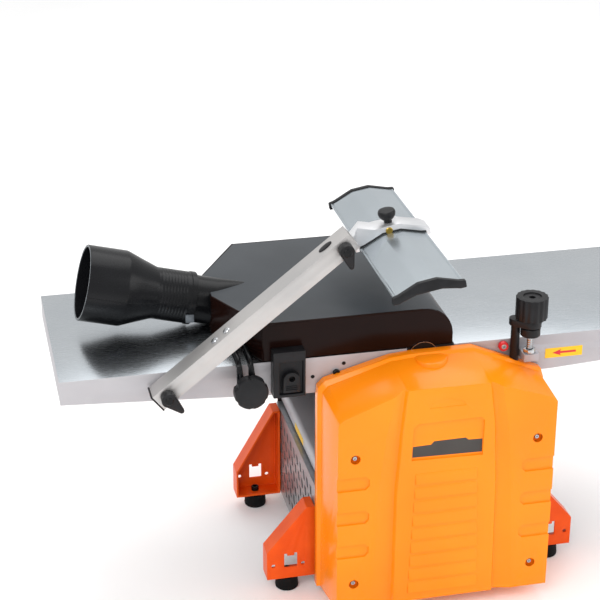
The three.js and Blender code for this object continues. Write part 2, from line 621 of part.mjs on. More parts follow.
// ---------------------------------------------------------------- chip hood and hose adaptor
// The hood: a low box over the cutter, rounded down at the infeed side, narrowing to a spout.
const HOOD_BOTTOM = TABLE_HEIGHT + 0.4;
const HOOD_TOP = TABLE_HEIGHT + HOOD_HEIGHT;
function hoodBody(wall) {
  const bend = 41 - wall;
  const curve = circle([HOOD_RIGHT - 41, HOOD_TOP - 41], bend, 32).slice(0, 9);
  const side = [
    [HOOD_OUTLET_X + wall, HOOD_BOTTOM - 2 * wall],
    [HOOD_RIGHT - wall, HOOD_BOTTOM - 2 * wall],
    ...curve,
    [HOOD_OUTLET_X + wall, HOOD_TOP - wall],
  ];
  const half = HALF_WIDTH - 0.5;
  const plan = [
    [HOOD_OUTLET_X, -37],
    [HOOD_LEFT.front, -half],
    [HOOD_RIGHT, -half],
    [HOOD_RIGHT, half],
    [HOOD_LEFT.rear, half],
    [HOOD_OUTLET_X, 37],
  ];
  const outline = wall ? inset(plan, wall) : plan;
  return slab(side, [-half, half]).intersect(prism("z", outline, [300, HOOD_TOP + 1]));
}
const spoutAlong = [-Math.cos(SPOUT_TILT), Math.sin(SPOUT_TILT)];
const onSpout = (s) => [MOUTH[0] - spoutAlong[0] * s, MOUTH[1] - spoutAlong[1] * s];
const outDirection = new THREE.Vector3(spoutAlong[0], 0, spoutAlong[1]);
// A circle square to the spout's axis, at a distance from the mouth.
const spoutRing = (s, radius) => {
  const [x, z] = onSpout(s);
  return circle([0, 0], radius, 24).map(([y, up]) => [
    x + up * Math.sin(SPOUT_TILT),
    y,
    z + up * Math.cos(SPOUT_TILT),
  ]);
};
const tip = circle([0, 0], 1, 24).map(([y, up]) => [-204, y, HOOD_TOP - 4 + up]);
const SPOUT = [112, 174]; // where the spout starts and where it meets the hood
const fairing = (wall) => loft([
  spoutRing(SPOUT[0] - wall, SPOUT_RADIUS - wall),
  spoutRing(SPOUT[1] + wall, SPOUT_RADIUS - wall),
  tip.map(([x, y, z]) => [x - 3 * wall, y, z - wall]),
]);
const hood = hoodBody(0).add(fairing(0)).subtract(hoodBody(HOOD_WALL).add(fairing(HOOD_WALL)));
add("chip_hood", hood, BLACK_PLASTIC);

// Adaptor: a stepped sleeve from the spout to a 100 mm hose.
const adaptorProfile = [
  [49, 0],
  [50, 1],
  [50, 53],
  [34.5, 95],
  [34.5, ADAPTOR_LENGTH],
  [32, ADAPTOR_LENGTH],
  [32, 96],
  [47, 54],
  [47, 0],
  [49, 0],
];
const mouthPoint = [MOUTH[0], 0, MOUTH[1]];
const inward = outDirection.clone().negate();
add("hose_adaptor", turned(adaptorProfile, mouthPoint, inward), BLACK_PLASTIC);

// Hood clamp: two straps from the hood over the table's edge to a plate, and a star knob's screw.
const CLAMP = [-243.5, TABLE_HEIGHT - 24.5];
const strapZ = TABLE_HEIGHT + 3.4;
let yoke = block([-258, -236], [-150, -146], [CLAMP[1] - 8, CLAMP[1] + 9]);
for (const [x, start] of [[-255, -74], [-240, -104.5]]) {
  yoke = yoke.add(block([x - 3, x + 3], [-150, start], [strapZ - 3, strapZ + 2]));
  yoke = yoke.add(block([x - 3, x + 3], [-150, -145.5], [CLAMP[1], strapZ + 2]));
}
yoke = yoke.subtract(rodY(CLAMP, 3.4, [-155, -140], 16));
add("hood_clamp_yoke", yoke, BLACK_PLASTIC);
const lobes = Array.from({ length: 48 }, (_, i) => {
  const angle = (2 * Math.PI * i) / 48;
  const radius = 20.6 + 1.4 * Math.cos(6 * angle);
  return [CLAMP[0] + radius * Math.cos(angle), CLAMP[1] + radius * Math.sin(angle)];
});
const clampScrew = rodY(CLAMP, 3, [-160, -136], 16);
add("hood_clamp_knob", slab(lobes, [-173, -159]).add(clampScrew), BLACK_PLASTIC);

// Hood latch: a housing on the outfeed skirt with a sliding bolt in its front pocket.
const LATCH = { x: [-212, -170], z: [TABLE_HEIGHT - 44, TABLE_HEIGHT + 20] };
const pocket = block([-204, -173], [-156, -147], [TABLE_HEIGHT - 40, TABLE_HEIGHT + 6]);
const housing = block(LATCH.x, [-153, -HALF_WIDTH - GAP], LATCH.z).subtract(pocket);
add("hood_latch_housing", housing, BLACK_PLASTIC);
const bolt = wrap([[-188.5, TABLE_HEIGHT - 20, 11]]).filter(([, z]) => z > TABLE_HEIGHT - 20);
const boltOutline = [[-177.5, TABLE_HEIGHT - 37], ...bolt.sort((a, b) => b[0] - a[0])];
boltOutline.push([-199.5, TABLE_HEIGHT - 37]);
const boltSlide = slab(boltOutline, [-154, -147 - GAP]);
const thumbHole = rodY([-188, TABLE_HEIGHT - 18], 4, [-160, -140], 16);
add("hood_latch_slide", boltSlide.subtract(thumbHole), BLACK_PLASTIC);

// ---------------------------------------------------------------- guard arm, holder and guard
// Arm: a box tube between two pivots, open at its upper end.
const armSpan = Math.hypot(TILT_PIVOT[0] - ARM_PIVOT[0], TILT_PIVOT[1] - ARM_PIVOT[1]);
const ARM_ANGLE = Math.atan2(TILT_PIVOT[1] - ARM_PIVOT[1], TILT_PIVOT[0] - ARM_PIVOT[0]);
const onArm = tilted(ARM_PIVOT, ARM_ANGLE);
const armBar = (from, to, low, high, span) =>
  slab([[from, low], [to, low], [to, high], [from, high]].map(onArm), span);
const armHalf = ARM_HEIGHT / 2;
const armEnd = armSpan + ARM_OVERHANG;
let arm = armBar(-ARM_OVERHANG, armEnd, -armHalf, armHalf, ARM_Y);
const tubeRoom = armHalf - ARM_WALL;
const between = [ARM_Y[0] + ARM_WALL, ARM_Y[1] - ARM_WALL];
arm = arm.subtract(armBar(-30, armEnd + 5, -tubeRoom, tubeRoom, between));
for (const pivot of [ARM_PIVOT, TILT_PIVOT])
  arm = arm.subtract(rodY(pivot, PIVOT_RADIUS + 0.4, [-200, -100], 16));
add("guard_arm", arm, ALUMINIUM);
const capBar = armBar(-ARM_OVERHANG - 2.3, -ARM_OVERHANG - GAP, -armHalf - 1, armHalf + 1, ARM_Y);
add("arm_end_cap", capBar, BLACK_PLASTIC);

// Teardrop wing knobs on the two pivots.
function wingKnob(pivot, tail) {
  const end = [pivot[0] + tail[0], pivot[1] + tail[1]];
  return slab(wrap([[...pivot, 9.5], [...end, 4]]), [-186, ARM_Y[0] - GAP]);
}
const lowerKnob = wingKnob(ARM_PIVOT, [16, -19]);
const lowerBore = rodY(ARM_PIVOT, PIVOT_RADIUS + GAP, [-176, -160], 16);
add("arm_pivot_knob", lowerKnob.subtract(lowerBore), BLACK_PLASTIC);
const tiltStud = rodY(TILT_PIVOT, PIVOT_RADIUS, [-171, HOLDER_EAR_Y[1] + 2], 16);
add("guard_tilt_knob", wingKnob(TILT_PIVOT, [7, -22]).add(tiltStud), BLACK_PLASTIC);

// The guard's arched section, as half widths and heights of its facets' corners.
const onGuard = tilted(GUARD_CENTRE, GUARD_TILT);
const ARCH = [[44, 0], [38, 1.2], [12, 11]];
const archTop = [...ARCH.map(([x, z]) => [-x, z]), ...[...ARCH].reverse()];
const archBand = (lift, drop) => [
  ...archTop.map(([x, z]) => [x, z + lift]),
  ...[...archTop].reverse().map(([x, z]) => [x, z - drop]),
];
add("guard_profile", slab(archBand(0, 2.6).map(onGuard), GUARD_Y), ALUMINIUM);
const capOutline = [
  [-46, 1],
  [-38, 2.6],
  [-12, 12.6],
  [12, 12.6],
  [38, 2.6],
  [46, 1],
  [46, -8],
  [36, -8],
  [16, -2],
  [-16, -2],
  [-36, -8],
  [-46, -8],
];
const capNear = [GUARD_Y[0] - CAP_THICKNESS, GUARD_Y[0] - GAP];
const capFar = [GUARD_Y[1] + GAP, GUARD_Y[1] + CAP_THICKNESS];
add("guard_cap_near", slab(capOutline.map(onGuard), capNear), BLACK_PLASTIC);
add("guard_cap_far", slab(capOutline.map(onGuard), capFar), BLACK_PLASTIC);

// Holder: bridges the guard with a hook round each edge, and narrows to an ear behind the arm.
const [pivotX, pivotZ] = tilted([0, 0], -GUARD_TILT)([
  TILT_PIVOT[0] - GUARD_CENTRE[0],
  TILT_PIVOT[1] - GUARD_CENTRE[1],
]);
const holderOutline = [
  [-50, -4],
  [-44.8, -4],
  [-44.8, 0.6],
  [-38.3, 2],
  [-12.2, 11.8],
  [12.2, 11.8],
  [38.3, 2],
  [44.8, 0.6],
  [44.8, -4],
  [50, -4],
  [50, 4],
  [43, 9],
  [16, 18.5],
  [12, 20.5],
  [-12, 20.5],
  [-22, 20.5],
  [pivotX + 9, pivotZ + 3],
  [pivotX, pivotZ + 9],
  [pivotX - 8, pivotZ + 4],
  [pivotX - 8, pivotZ - 4],
  [pivotX, pivotZ - 9],
  [pivotX + 8, pivotZ - 9],
  [-52, 7],
  [-50, 3],
];
const holderPlan = [
  [-140, HOLDER_EAR_Y[0]],
  [-106, HOLDER_EAR_Y[0]],
  [-94, HOLDER_Y[0]],
  [20, HOLDER_Y[0]],
  [20, HOLDER_Y[1]],
  [-86, HOLDER_Y[1]],
  [-112, HOLDER_EAR_Y[1]],
  [-140, HOLDER_EAR_Y[1]],
];
const eye = rodY(TILT_PIVOT, PIVOT_RADIUS + 0.4, [-200, -100], 16);
const guardUp = new THREE.Vector3(-Math.sin(GUARD_TILT), 0, Math.cos(GUARD_TILT));
const overGuard = (height) => {
  const [x, z] = onGuard([0, height]);
  return [x, HOLDER_MIDDLE, z];
};
const clampBore = turned([[0, 0], [3.5, 0], [3.5, 40], [0, 40]], overGuard(10), guardUp, 16);
const holderReach = slab(holderOutline.map(onGuard), [HOLDER_EAR_Y[0], HOLDER_Y[1]]);
const holder = holderReach.intersect(prism("z", holderPlan, [TABLE_HEIGHT + 50, TABLE_HEIGHT + 250]));
add("guard_holder", holder.subtract(eye).subtract(clampBore), ALUMINIUM);
const mushroom = [
  [0, 12.1],
  [3, 12.1],
  [3, 20.8],
  [5.2, 20.8],
  [5.2, 24],
  [8.5, 26.5],
  [11, 30],
  [11.5, 33],
  [11, 36.5],
  [9, 38],
  [0, 38.5],
];
add("guard_clamp_knob", turned(mushroom, overGuard(0), guardUp, 24), BLACK_PLASTIC);

// ---------------------------------------------------------------- switch box and cable gland
// On the base's right end wall, below the thicknessing opening.
const SWITCH = { x: [HALF_BODY + GAP, 190], y: [-72, 2], z: [66, 142] };
const START = [-20, 104];
const STOP = [-52, 104];
let switchBox = block(SWITCH.x, SWITCH.y, SWITCH.z);
const well = (at, radius) => {
  const outline = circle(at, radius);
  return prism("x", outline, [SWITCH.x[1] - 9, SWITCH.x[1] + 1]);
};
switchBox = switchBox.subtract(well(START, 9.5)).subtract(well(STOP, 11.5));
add("switch_box", switchBox, BLACK_PLASTIC);
add("start_button", prism("x", circle(START, 9), [SWITCH.x[1] - 5, SWITCH.x[1] + 2]), GREEN_PLASTIC);
add("stop_button", prism("x", circle(STOP, 11), [SWITCH.x[1] - 5, SWITCH.x[1] + 6]), RED_PLASTIC);
const GLAND = [60, 60];
const glandFlange = prism("x", circle(GLAND, 12, 6), [HALF_BODY + GAP, HALF_BODY + 7]);
const glandBarrel = prism("x", circle(GLAND, 8), [HALF_BODY + 6, HALF_BODY + 24]);
const glandBore = prism("x", circle(GLAND, 4, 16), [HALF_BODY - 1, HALF_BODY + 30]);
add("cable_gland", glandFlange.add(glandBarrel).subtract(glandBore), BLACK_PLASTIC);

export default planer;
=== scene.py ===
"""A benchtop planer-thicknesser in metres, +Z up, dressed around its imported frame: milled aluminium
tables, a glossy orange drive cover, a black chip hood with a hose adaptor, and a bridge guard."""

import json
import math

import bpy
from mathutils import Matrix, Vector


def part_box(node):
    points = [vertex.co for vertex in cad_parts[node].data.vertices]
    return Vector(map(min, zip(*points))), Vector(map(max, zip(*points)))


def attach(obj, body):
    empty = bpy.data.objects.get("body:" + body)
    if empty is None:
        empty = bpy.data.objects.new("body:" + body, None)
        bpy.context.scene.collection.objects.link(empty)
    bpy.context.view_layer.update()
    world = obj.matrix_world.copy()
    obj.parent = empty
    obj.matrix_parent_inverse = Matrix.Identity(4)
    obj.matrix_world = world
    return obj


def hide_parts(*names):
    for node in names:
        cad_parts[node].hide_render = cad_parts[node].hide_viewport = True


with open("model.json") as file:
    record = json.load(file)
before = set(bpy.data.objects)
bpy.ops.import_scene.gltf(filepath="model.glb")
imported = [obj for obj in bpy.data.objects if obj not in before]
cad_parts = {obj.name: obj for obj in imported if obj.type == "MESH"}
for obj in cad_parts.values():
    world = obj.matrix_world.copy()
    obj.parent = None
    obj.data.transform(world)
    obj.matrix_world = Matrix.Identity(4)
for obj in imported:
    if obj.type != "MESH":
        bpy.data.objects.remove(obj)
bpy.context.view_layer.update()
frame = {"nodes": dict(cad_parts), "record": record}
scene = bpy.context.scene

# ------------------------------------------------------------------ tables
# The outfeed and infeed tables are aluminium castings with skirts down both long sides. Their tops
# are milled flat and polished by use; the skirts keep a pale, finely blasted finish.
MM = 0.001


def pick(piece):
    """Selects one piece alone."""
    if bpy.context.object and bpy.context.object.mode != "OBJECT":
        bpy.ops.object.mode_set(mode="OBJECT")
    bpy.ops.object.select_all(action="DESELECT")
    piece.select_set(True)
    bpy.context.view_layer.objects.active = piece
    return piece


def ease(piece, width, segments=2, angle=30):
    """Rounds a piece's sharp edges by a width in mm, and shades it smooth between them."""
    pick(piece)
    if width:
        bevel = piece.modifiers.new("eased_edges", "BEVEL")
        bevel.width = width * MM
        bevel.segments = segments
        bevel.limit_method = "ANGLE"
        bevel.angle_limit = math.radians(angle)
        bevel.use_clamp_overlap = True
        bpy.ops.object.modifier_apply(modifier=bevel.name)
    bpy.ops.object.shade_smooth_by_angle(angle=math.radians(32))
    return piece


def worked(node, width=0.4, segments=2, angle=30):
    """A frame part as a finished piece: merged, its flat faces joined up, and its edges eased."""
    piece = bpy.data.objects.new(node + "_finished", frame["nodes"][node].data.copy())
    scene.collection.objects.link(piece)
    piece.data.materials.clear()
    pick(piece)
    bpy.ops.object.mode_set(mode="EDIT")
    bpy.ops.mesh.select_all(action="SELECT")
    bpy.ops.mesh.remove_doubles(threshold=2e-6)
    bpy.ops.mesh.dissolve_limited(angle_limit=math.radians(0.6))
    bpy.ops.object.mode_set(mode="OBJECT")
    return ease(piece, width, segments, angle)


def fit(piece, material, body, slot, *nodes):
    """Gives a piece its finish, and makes it move with its body and stand for its frame parts."""
    if not piece.data.materials:
        piece.data.materials.append(material)
    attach(piece, body)
    if nodes:
        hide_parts(*nodes)
    return piece


def srgb(code):
    """A hex colour as linear red, green, blue and alpha."""
    shares = [int(code[i : i + 2], 16) / 255 for i in (1, 3, 5)]
    return [s / 12.92 if s <= 0.04045 else ((s + 0.055) / 1.055) ** 2.4 for s in shares] + [1.0]


def put(material, kind, settings, links=()):
    """Adds one shader node to a material, with its settings and the links into it."""
    made = material.node_tree.nodes.new("ShaderNode" + kind)
    for name, value in settings.items():
        if isinstance(name, str) and hasattr(made, name):
            setattr(made, name, value)
        else:
            made.inputs[name].default_value = value
    for name, source in dict(links).items():
        material.node_tree.links.new(source, made.inputs[name])
    return made


def finish(name, light, dark, rough, grain, tooth, metallic=0.0, mottle=70, draw=(1, 1, 1), **skin):
    """A finish that drifts between two shades over mottle mm, with a grain of its own real size in
    mm, drawn out along an axis, which varies its roughness and stands up by tooth mm."""
    material = bpy.data.materials.new(name)
    material.use_nodes = True
    tree = material.node_tree
    shader = tree.nodes["Principled BSDF"]
    place = put(material, "TexCoord", {}).outputs["Object"]
    broad = put(material, "TexNoise", {"Scale": 1000 / mottle, "Detail": 3.0}, {"Vector": place})
    drift = put(
        material, "MapRange", {"From Min": 0.35, "From Max": 0.65}, {"Value": broad.outputs[0]}
    )
    shade = put(material, "Mix", {"data_type": "RGBA", 6: srgb(dark), 7: srgb(light)})
    tree.links.new(drift.outputs[0], shade.inputs[0])
    drawn = put(material, "Mapping", {"Scale": draw}, {"Vector": place})
    fine = put(
        material,
        "TexNoise",
        {"Scale": 1000 / grain, "Detail": 4.0, "Roughness": 0.6},
        {"Vector": drawn.outputs[0]},
    )
    polish = put(
        material,
        "MapRange",
        {"From Min": 0.3, "From Max": 0.7, "To Min": rough[0], "To Max": rough[1]},
        {"Value": fine.outputs[0]},
    )
    relief = put(
        material,
        "Bump",
        {"Strength": 0.6, "Distance": tooth * MM},
        {"Height": fine.outputs[0]},
    )
    tree.links.new(shade.outputs[2], shader.inputs["Base Color"])
    tree.links.new(polish.outputs[0], shader.inputs["Roughness"])
    tree.links.new(relief.outputs[0], shader.inputs["Normal"])
    shader.inputs["Metallic"].default_value = metallic
    for socket, value in skin.items():
        shader.inputs[socket.replace("_", " ")].default_value = value
    return material


# Milled aluminium: fine cutter lines along the feed blur reflections along the table.
milled_aluminium = finish(
    "milled_aluminium", "#BCC1C5", "#B3B9BE", (0.23, 0.29), 1.2, 0.008, 1.0, 140, (0.04, 1, 1)
)
# Blasted aluminium: pale and even, with a soft sheen and hardly any reflection.
blasted_aluminium = finish(
    "blasted_aluminium", "#BAB8BB", "#AFADB1", (0.5, 0.62), 0.8, 0.03, 0.55, 90
)


def paint_faces(piece, material, test):
    """Gives a second finish to the faces whose centre and normal pass a test."""
    piece.data.materials.append(material)
    index = len(piece.data.materials) - 1
    for face in piece.data.polygons:
        if test(face.center, face.normal):
            face.material_index = index


TABLE_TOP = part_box("outfeed_table")[1].z
for node, body in (("outfeed_table", "frame"), ("infeed_table", "infeed")):
    table = worked(node, 0.9, 3)
    table.data.materials.append(blasted_aluminium)
    paint_faces(table, milled_aluminium, lambda c, n: n.z > 0.7 and c.z > TABLE_TOP - 0.002)
    fit(table, blasted_aluminium, body, "aluminium", node)


def spun(name, profile, origin, axis, steps=48):
    """A turned piece: a closed outline of (radius, height) in mm, spun about an axis at a point."""
    bpy.ops.object.select_all(action="DESELECT")
    bpy.ops.mesh.primitive_circle_add(vertices=len(profile), fill_type="NOTHING")
    piece = bpy.context.object
    piece.name = name
    for vertex, (radius, height) in zip(piece.data.vertices, profile):
        vertex.co = (radius * MM, 0, height * MM)
    bpy.ops.object.mode_set(mode="EDIT")
    bpy.ops.mesh.select_all(action="SELECT")
    bpy.ops.mesh.spin(steps=steps, angle=2 * math.pi, center=(0, 0, 0), axis=(0, 0, 1))
    bpy.ops.mesh.select_all(action="SELECT")
    bpy.ops.mesh.remove_doubles(threshold=1e-6)
    bpy.ops.mesh.dissolve_degenerate(threshold=1e-7)
    bpy.ops.mesh.normals_make_consistent(inside=False)
    bpy.ops.object.mode_set(mode="OBJECT")
    turn = Vector((0, 0, 1)).rotation_difference(Vector(axis)).to_matrix().to_4x4()
    piece.data.transform(Matrix.Translation(Vector(origin) * MM) @ turn)
    bpy.ops.object.shade_smooth_by_angle(angle=math.radians(35))
    return piece


def drawn_from(name, outline, along, depth):
    """A plate: an outline of points in mm, pressed out through a depth in mm along an axis."""
    bpy.ops.object.select_all(action="DESELECT")
    bpy.ops.mesh.primitive_circle_add(vertices=len(outline), fill_type="NGON")
    piece = bpy.context.object
    piece.name = name
    for vertex, point in zip(piece.data.vertices, outline):
        vertex.co = Vector(point) * MM
    bpy.ops.object.mode_set(mode="EDIT")
    bpy.ops.mesh.select_all(action="SELECT")
    bpy.ops.mesh.extrude_region_move(
        TRANSFORM_OT_translate={"value": tuple(Vector(along) * depth * MM)}
    )
    bpy.ops.mesh.select_all(action="SELECT")
    bpy.ops.mesh.normals_make_consistent(inside=False)
    bpy.ops.object.mode_set(mode="OBJECT")
    return piece


def bar(name, low, high, width=0.4, segments=2):
    """A bar with eased edges between two corners in mm."""
    bpy.ops.object.select_all(action="DESELECT")
    middle = [(a + b) / 2 * MM for a, b in zip(low, high)]
    bpy.ops.mesh.primitive_cube_add(size=1, location=middle)
    piece = bpy.context.object
    piece.name = name
    piece.scale = [(b - a) * MM for a, b in zip(low, high)]
    bpy.ops.object.transform_apply(location=True, rotation=False, scale=True)
    return ease(piece, width, segments)


def screw(name, place, axis, head=4.5, rise=3.0, hexagon=2.2):
    """A round cap screw with a socket, its head's underside at a place in mm."""
    profile = [
        (0, -1),
        (head, -1),
        (head, rise - 0.6),
        (head - 0.6, rise),
        (hexagon, rise),
        (hexagon, rise * 0.4),
        (0, rise * 0.4),
    ]
    return spun(name, profile, place, axis, 24)


# Black cap screws along the outfeed table's front skirt, and thin black discs painted as the shade inside
# its empty screw holes.
black_oxide = finish("black_oxide_steel", "#131212", "#0C0B0B", (0.35, 0.5), 0.6, 0.01, 0.6, 20)
FRONT = (0, -1, 0)
for index, (x, z) in enumerate([(-126, 331), (88, 334)]):
    side_screw = screw(f"skirt_screw_{index}", (x, -135.2, z), FRONT, 4.8, 5)
    fit(side_screw, black_oxide, "frame" if x < 0 else "infeed", "black_plastic")
for index, (x, z) in enumerate([(-157, 328), (-116, 343)]):
    # Each disc is painted shade standing in for the dark inside of an empty hole, not a part of the
    # machine.
    socket = spun(
        f"skirt_hole_painted_shade_{index}",
        [(0, 0), (2.6, 0), (2.6, 0.35), (0, 0.35)],
        (x, -134.9, z),
        FRONT,
        20,
    )
    fit(socket, black_oxide, "frame", "black_plastic")

# ------------------------------------------------------------------ base, side plates and brackets
# Base and cheeks: folded and pressed steel. The base's end walls are punched with slanting vents to let
# chips and motor heat out, and are zinc plated; the cheeks are powder coated dark grey, and their warm
# grey-brown is partly painted shade of the opening under the tables.
zinc_sheet = finish("zinc_plated_sheet", "#B9BCBF", "#A3A6AA", (0.3, 0.42), 3.0, 0.02, 0.85, 45)
# Partly painted shade: the warm dark grey-brown also darkens the cheeks to stand for the shaded opening
# under the tables.
dark_coat_and_painted_shade = finish(
    "dark_coat_and_painted_shade", "#3A3230", "#2E2826", (0.42, 0.55), 0.7, 0.03, 0.0, 80, Specular_IOR_Level=0.2
)


def cut(piece, cutter):
    """Takes a cutter's shape out of a piece, and discards the cutter."""
    pick(piece)
    tool = piece.modifiers.new("cut", "BOOLEAN")
    tool.operation = "DIFFERENCE"
    tool.solver = "EXACT"
    tool.object = cutter
    bpy.ops.object.modifier_apply(modifier=tool.name)
    bpy.data.objects.remove(cutter)


def join(pieces, name):
    """One piece from several."""
    pick(pieces[0])
    for piece in pieces:
        piece.select_set(True)
    bpy.ops.object.join()
    joined = bpy.context.object
    joined.name = name
    return joined


base = worked("base_tray", 0, 1)
VENT = {"wide": 9, "tall": 13, "slant": 5, "step_y": 21, "step_z": 19}
BASE_LEFT = -150
vents = []
for row in range(6):
    for column in range(11 - row % 2):
        y = -112 + (column + 0.5 * (row % 2)) * VENT["step_y"]
        z = 34 + row * VENT["step_z"]
        corners = [
            (BASE_LEFT - 2, y, z),
            (BASE_LEFT - 2, y + VENT["wide"], z),
            (BASE_LEFT - 2, y + VENT["wide"] + VENT["slant"], z + VENT["tall"]),
            (BASE_LEFT - 2, y + VENT["slant"], z + VENT["tall"]),
        ]
        vents.append(drawn_from("vent_cutter", corners, (1, 0, 0), 5))
cut(base, join(vents, "vent_cutters"))
ease(base, 0)
fit(base, zinc_sheet, "frame", "grey_paint", "base_tray")
for node in ("side_plate_front", "side_plate_rear"):
    fit(worked(node, 0.3, 1), dark_coat_and_painted_shade, "frame", "grey_paint", node)

# Foot brackets: folded orange gussets with a window, two holes and the foot's screw in each web.
orange_enamel = finish(
    "orange_enamel", "#EC5A10", "#DE4E0A", (0.3, 0.42), 1.4, 0.02, 0.0, 50, Specular_IOR_Level=0.2
)
moulded_rubber = finish(
    "moulded_rubber", "#141415", "#0D0D0E", (0.7, 0.85), 0.7, 0.04, 0.0, 30, Specular_IOR_Level=0.15
)
zinc_steel = finish("zinc_plated_steel", "#C4C6C8", "#A9ABAE", (0.2, 0.34), 0.8, 0.01, 1.0, 12)
for corner, side_x, side_y in (
    ("rear_left", -1, 1),
    ("rear_right", 1, 1),
    ("front_left", -1, -1),
    ("front_right", 1, -1),
):
    bracket = worked("foot_bracket_" + corner, 0, 1)
    web = 110 * side_y
    window = [
        (side_x * 175, web, 37),
        (side_x * 193, web, 37),
        (side_x * 193, web, 59),
        (side_x * 189, web, 59),
        (side_x * 189, web, 55),
        (side_x * 179, web, 55),
        (side_x * 179, web, 59),
        (side_x * 175, web, 59),
    ]
    cut(bracket, drawn_from("window_cutter", window, (0, side_y, 0), 30))
    for x in (208, 167):
        hole = [(0, 0), (2.6, 0), (2.6, 30), (0, 30)]
        cut(bracket, spun("hole_cutter", hole, (side_x * x, web, 41), (0, side_y, 0), 20))
    ease(bracket, 0.9, 2)
    fit(bracket, orange_enamel, "frame", "orange_paint", "foot_bracket_" + corner)
    low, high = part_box("rubber_foot_" + corner)
    foot_x, foot_y = (low.x + high.x) / 2 / MM, (low.y + high.y) / 2 / MM
    sole = [
        (0, 0.1),
        (14.6, 0.1),
        (15.6, 1.2),
        (16, 4),
        (15.5, 5),
        (15.7, 6),
        (14.9, 19.5),
        (0, 19.5),
    ]
    foot = spun("rubber_foot_" + corner + "_turned", sole, (foot_x, foot_y, 0), (0, 0, 1), 40)
    fit(foot, moulded_rubber, "frame", "rubber", "rubber_foot_" + corner)
    bolt = screw("foot_bolt_" + corner, (foot_x, foot_y, 23), (0, 0, 1), 5.5, 6, 3)
    fit(bolt, black_oxide, "frame", "black_plastic")

# ------------------------------------------------------------------ cutter, feed and lift
# Turned and ground steel: cutter block and knives, rollers, bearings, chains and the lift screws.
# The two reduction wheels are moulded nylon, and the motor is a painted steel can.
ground_steel = finish("ground_steel", "#B4B6B9", "#9A9DA1", (0.2, 0.32), 0.5, 0.01, 1.0, 30, (1, 0.1, 1))
oiled_steel = finish("oiled_steel", "#77777A", "#5C5B5C", (0.3, 0.45), 1.5, 0.02, 0.9, 15)
black_nylon = finish("black_nylon", "#232324", "#1A1A1B", (0.4, 0.52), 0.9, 0.02, 0.0, 30)
grey_enamel = finish("grey_enamel", "#6B6D70", "#5D5F62", (0.35, 0.48), 1.2, 0.02, 0.0, 60)
body_of = {}
for body, members in frame["record"]["behaviour"]["bodies"].items():
    for node in members:
        body_of[node] = body
for material, slot, names in (
    (
        ground_steel,
        "steel",
        (
            "cutter_block",
            "cutter_knife_upper",
            "cutter_knife_lower",
            "feed_roller_infeed",
            "feed_roller_outfeed",
        ),
    ),
    (
        oiled_steel,
        "steel",
        (
            "cutter_bearing_front",
            "cutter_bearing_rear",
            "motor_pulley",
            "cutter_pulley",
            "feed_chain",
            "lift_chain",
            "anti_kickback_pawls",
            "lift_screw_rear_left",
            "lift_screw_rear_right",
            "lift_screw_front_left",
            "lift_screw_front_right",
        ),
    ),
    (moulded_rubber, "rubber", ("drive_belt",)),
    (black_nylon, "black_plastic", ("reduction_wheel_first", "reduction_wheel_second")),
    (grey_enamel, "grey_paint", ("motor",)),
    (zinc_steel, "steel", ("lift_crank",)),
):
    for node in names:
        fit(worked(node, 0.3, 1), material, body_of[node], slot, node)

# Thickness table: a ribbed aluminium casting with a rounded lead-in at each end and a plain label.
label_yellow = finish("label_yellow", "#F5C400", "#EDB900", (0.35, 0.45), 2.0, 0.005, 0.0, 30)
fit(
    worked("thickness_table", 0.7, 2),
    blasted_aluminium,
    "thickness_table",
    "aluminium",
    "thickness_table",
)
edge_label = bar("thickness_table_label", (-143.4, -18, 162), (-142.9, 32, 171.5), 0.1, 1)
fit(edge_label, label_yellow, "thickness_table", "aluminium")

# Crank grip: a turned black handle that spins on the crank's pin.
grip_low, grip_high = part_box("crank_grip")
grip_x, grip_z = (grip_low.x + grip_high.x) / 2 / MM, (grip_low.z + grip_high.z) / 2 / MM
grip_profile = [
    (4.4, 0),
    (8, 0),
    (8.8, 1.5),
    (10.4, 6),
    (11.7, 14),
    (12, 24),
    (11.4, 34),
    (10, 44),
    (9.2, 51),
    (8.6, 55.5),
    (7.4, 57),
    (4.4, 57),
]
grip = spun("crank_grip_turned", grip_profile, (grip_x, grip_low.y / MM, grip_z), (0, 1, 0), 40)
fit(grip, black_nylon, "grip", "black_plastic", "crank_grip")

# ------------------------------------------------------------------ front cover
# The drive cover is one injection moulding in glossy orange ABS, screwed to the front cheek. Its
# band steps back to a tapered front with a shield between two flutes, a label panel and ribs.
orange_abs = finish(
    "glossy_orange_abs",
    "#FF8C10",
    "#FA840C",
    (0.2, 0.28),
    2.2,
    0.012,
    0.0,
    160,
    Specular_IOR_Level=0.2,
    Coat_Weight=0.12,
    Coat_Roughness=0.12,
)
cover_rim = [
    (-154, 18),
    (152, 18),
    (152, 301),
    (148, 314),
    (53, 354),
    (-30, 353.5),
    (-58, 351),
    (-144, 327),
    (-153, 318),
    (-154, 305),
]
cover_step = [
    (-149.5, 19.5),
    (148, 19.5),
    (148, 302),
    (143.5, 312),
    (53, 350),
    (-30, 350),
    (-59, 347.5),
    (-141, 321),
    (-148.5, 313),
    (-149.5, 303),
]
cover_face = [
    (-143, 24),
    (147, 24),
    (147.2, 300),
    (143.5, 306),
    (53, 336.5),
    (-30, 337.5),
    (-53, 337),
    (-134, 305),
    (-141.5, 300),
    (-143, 294),
]


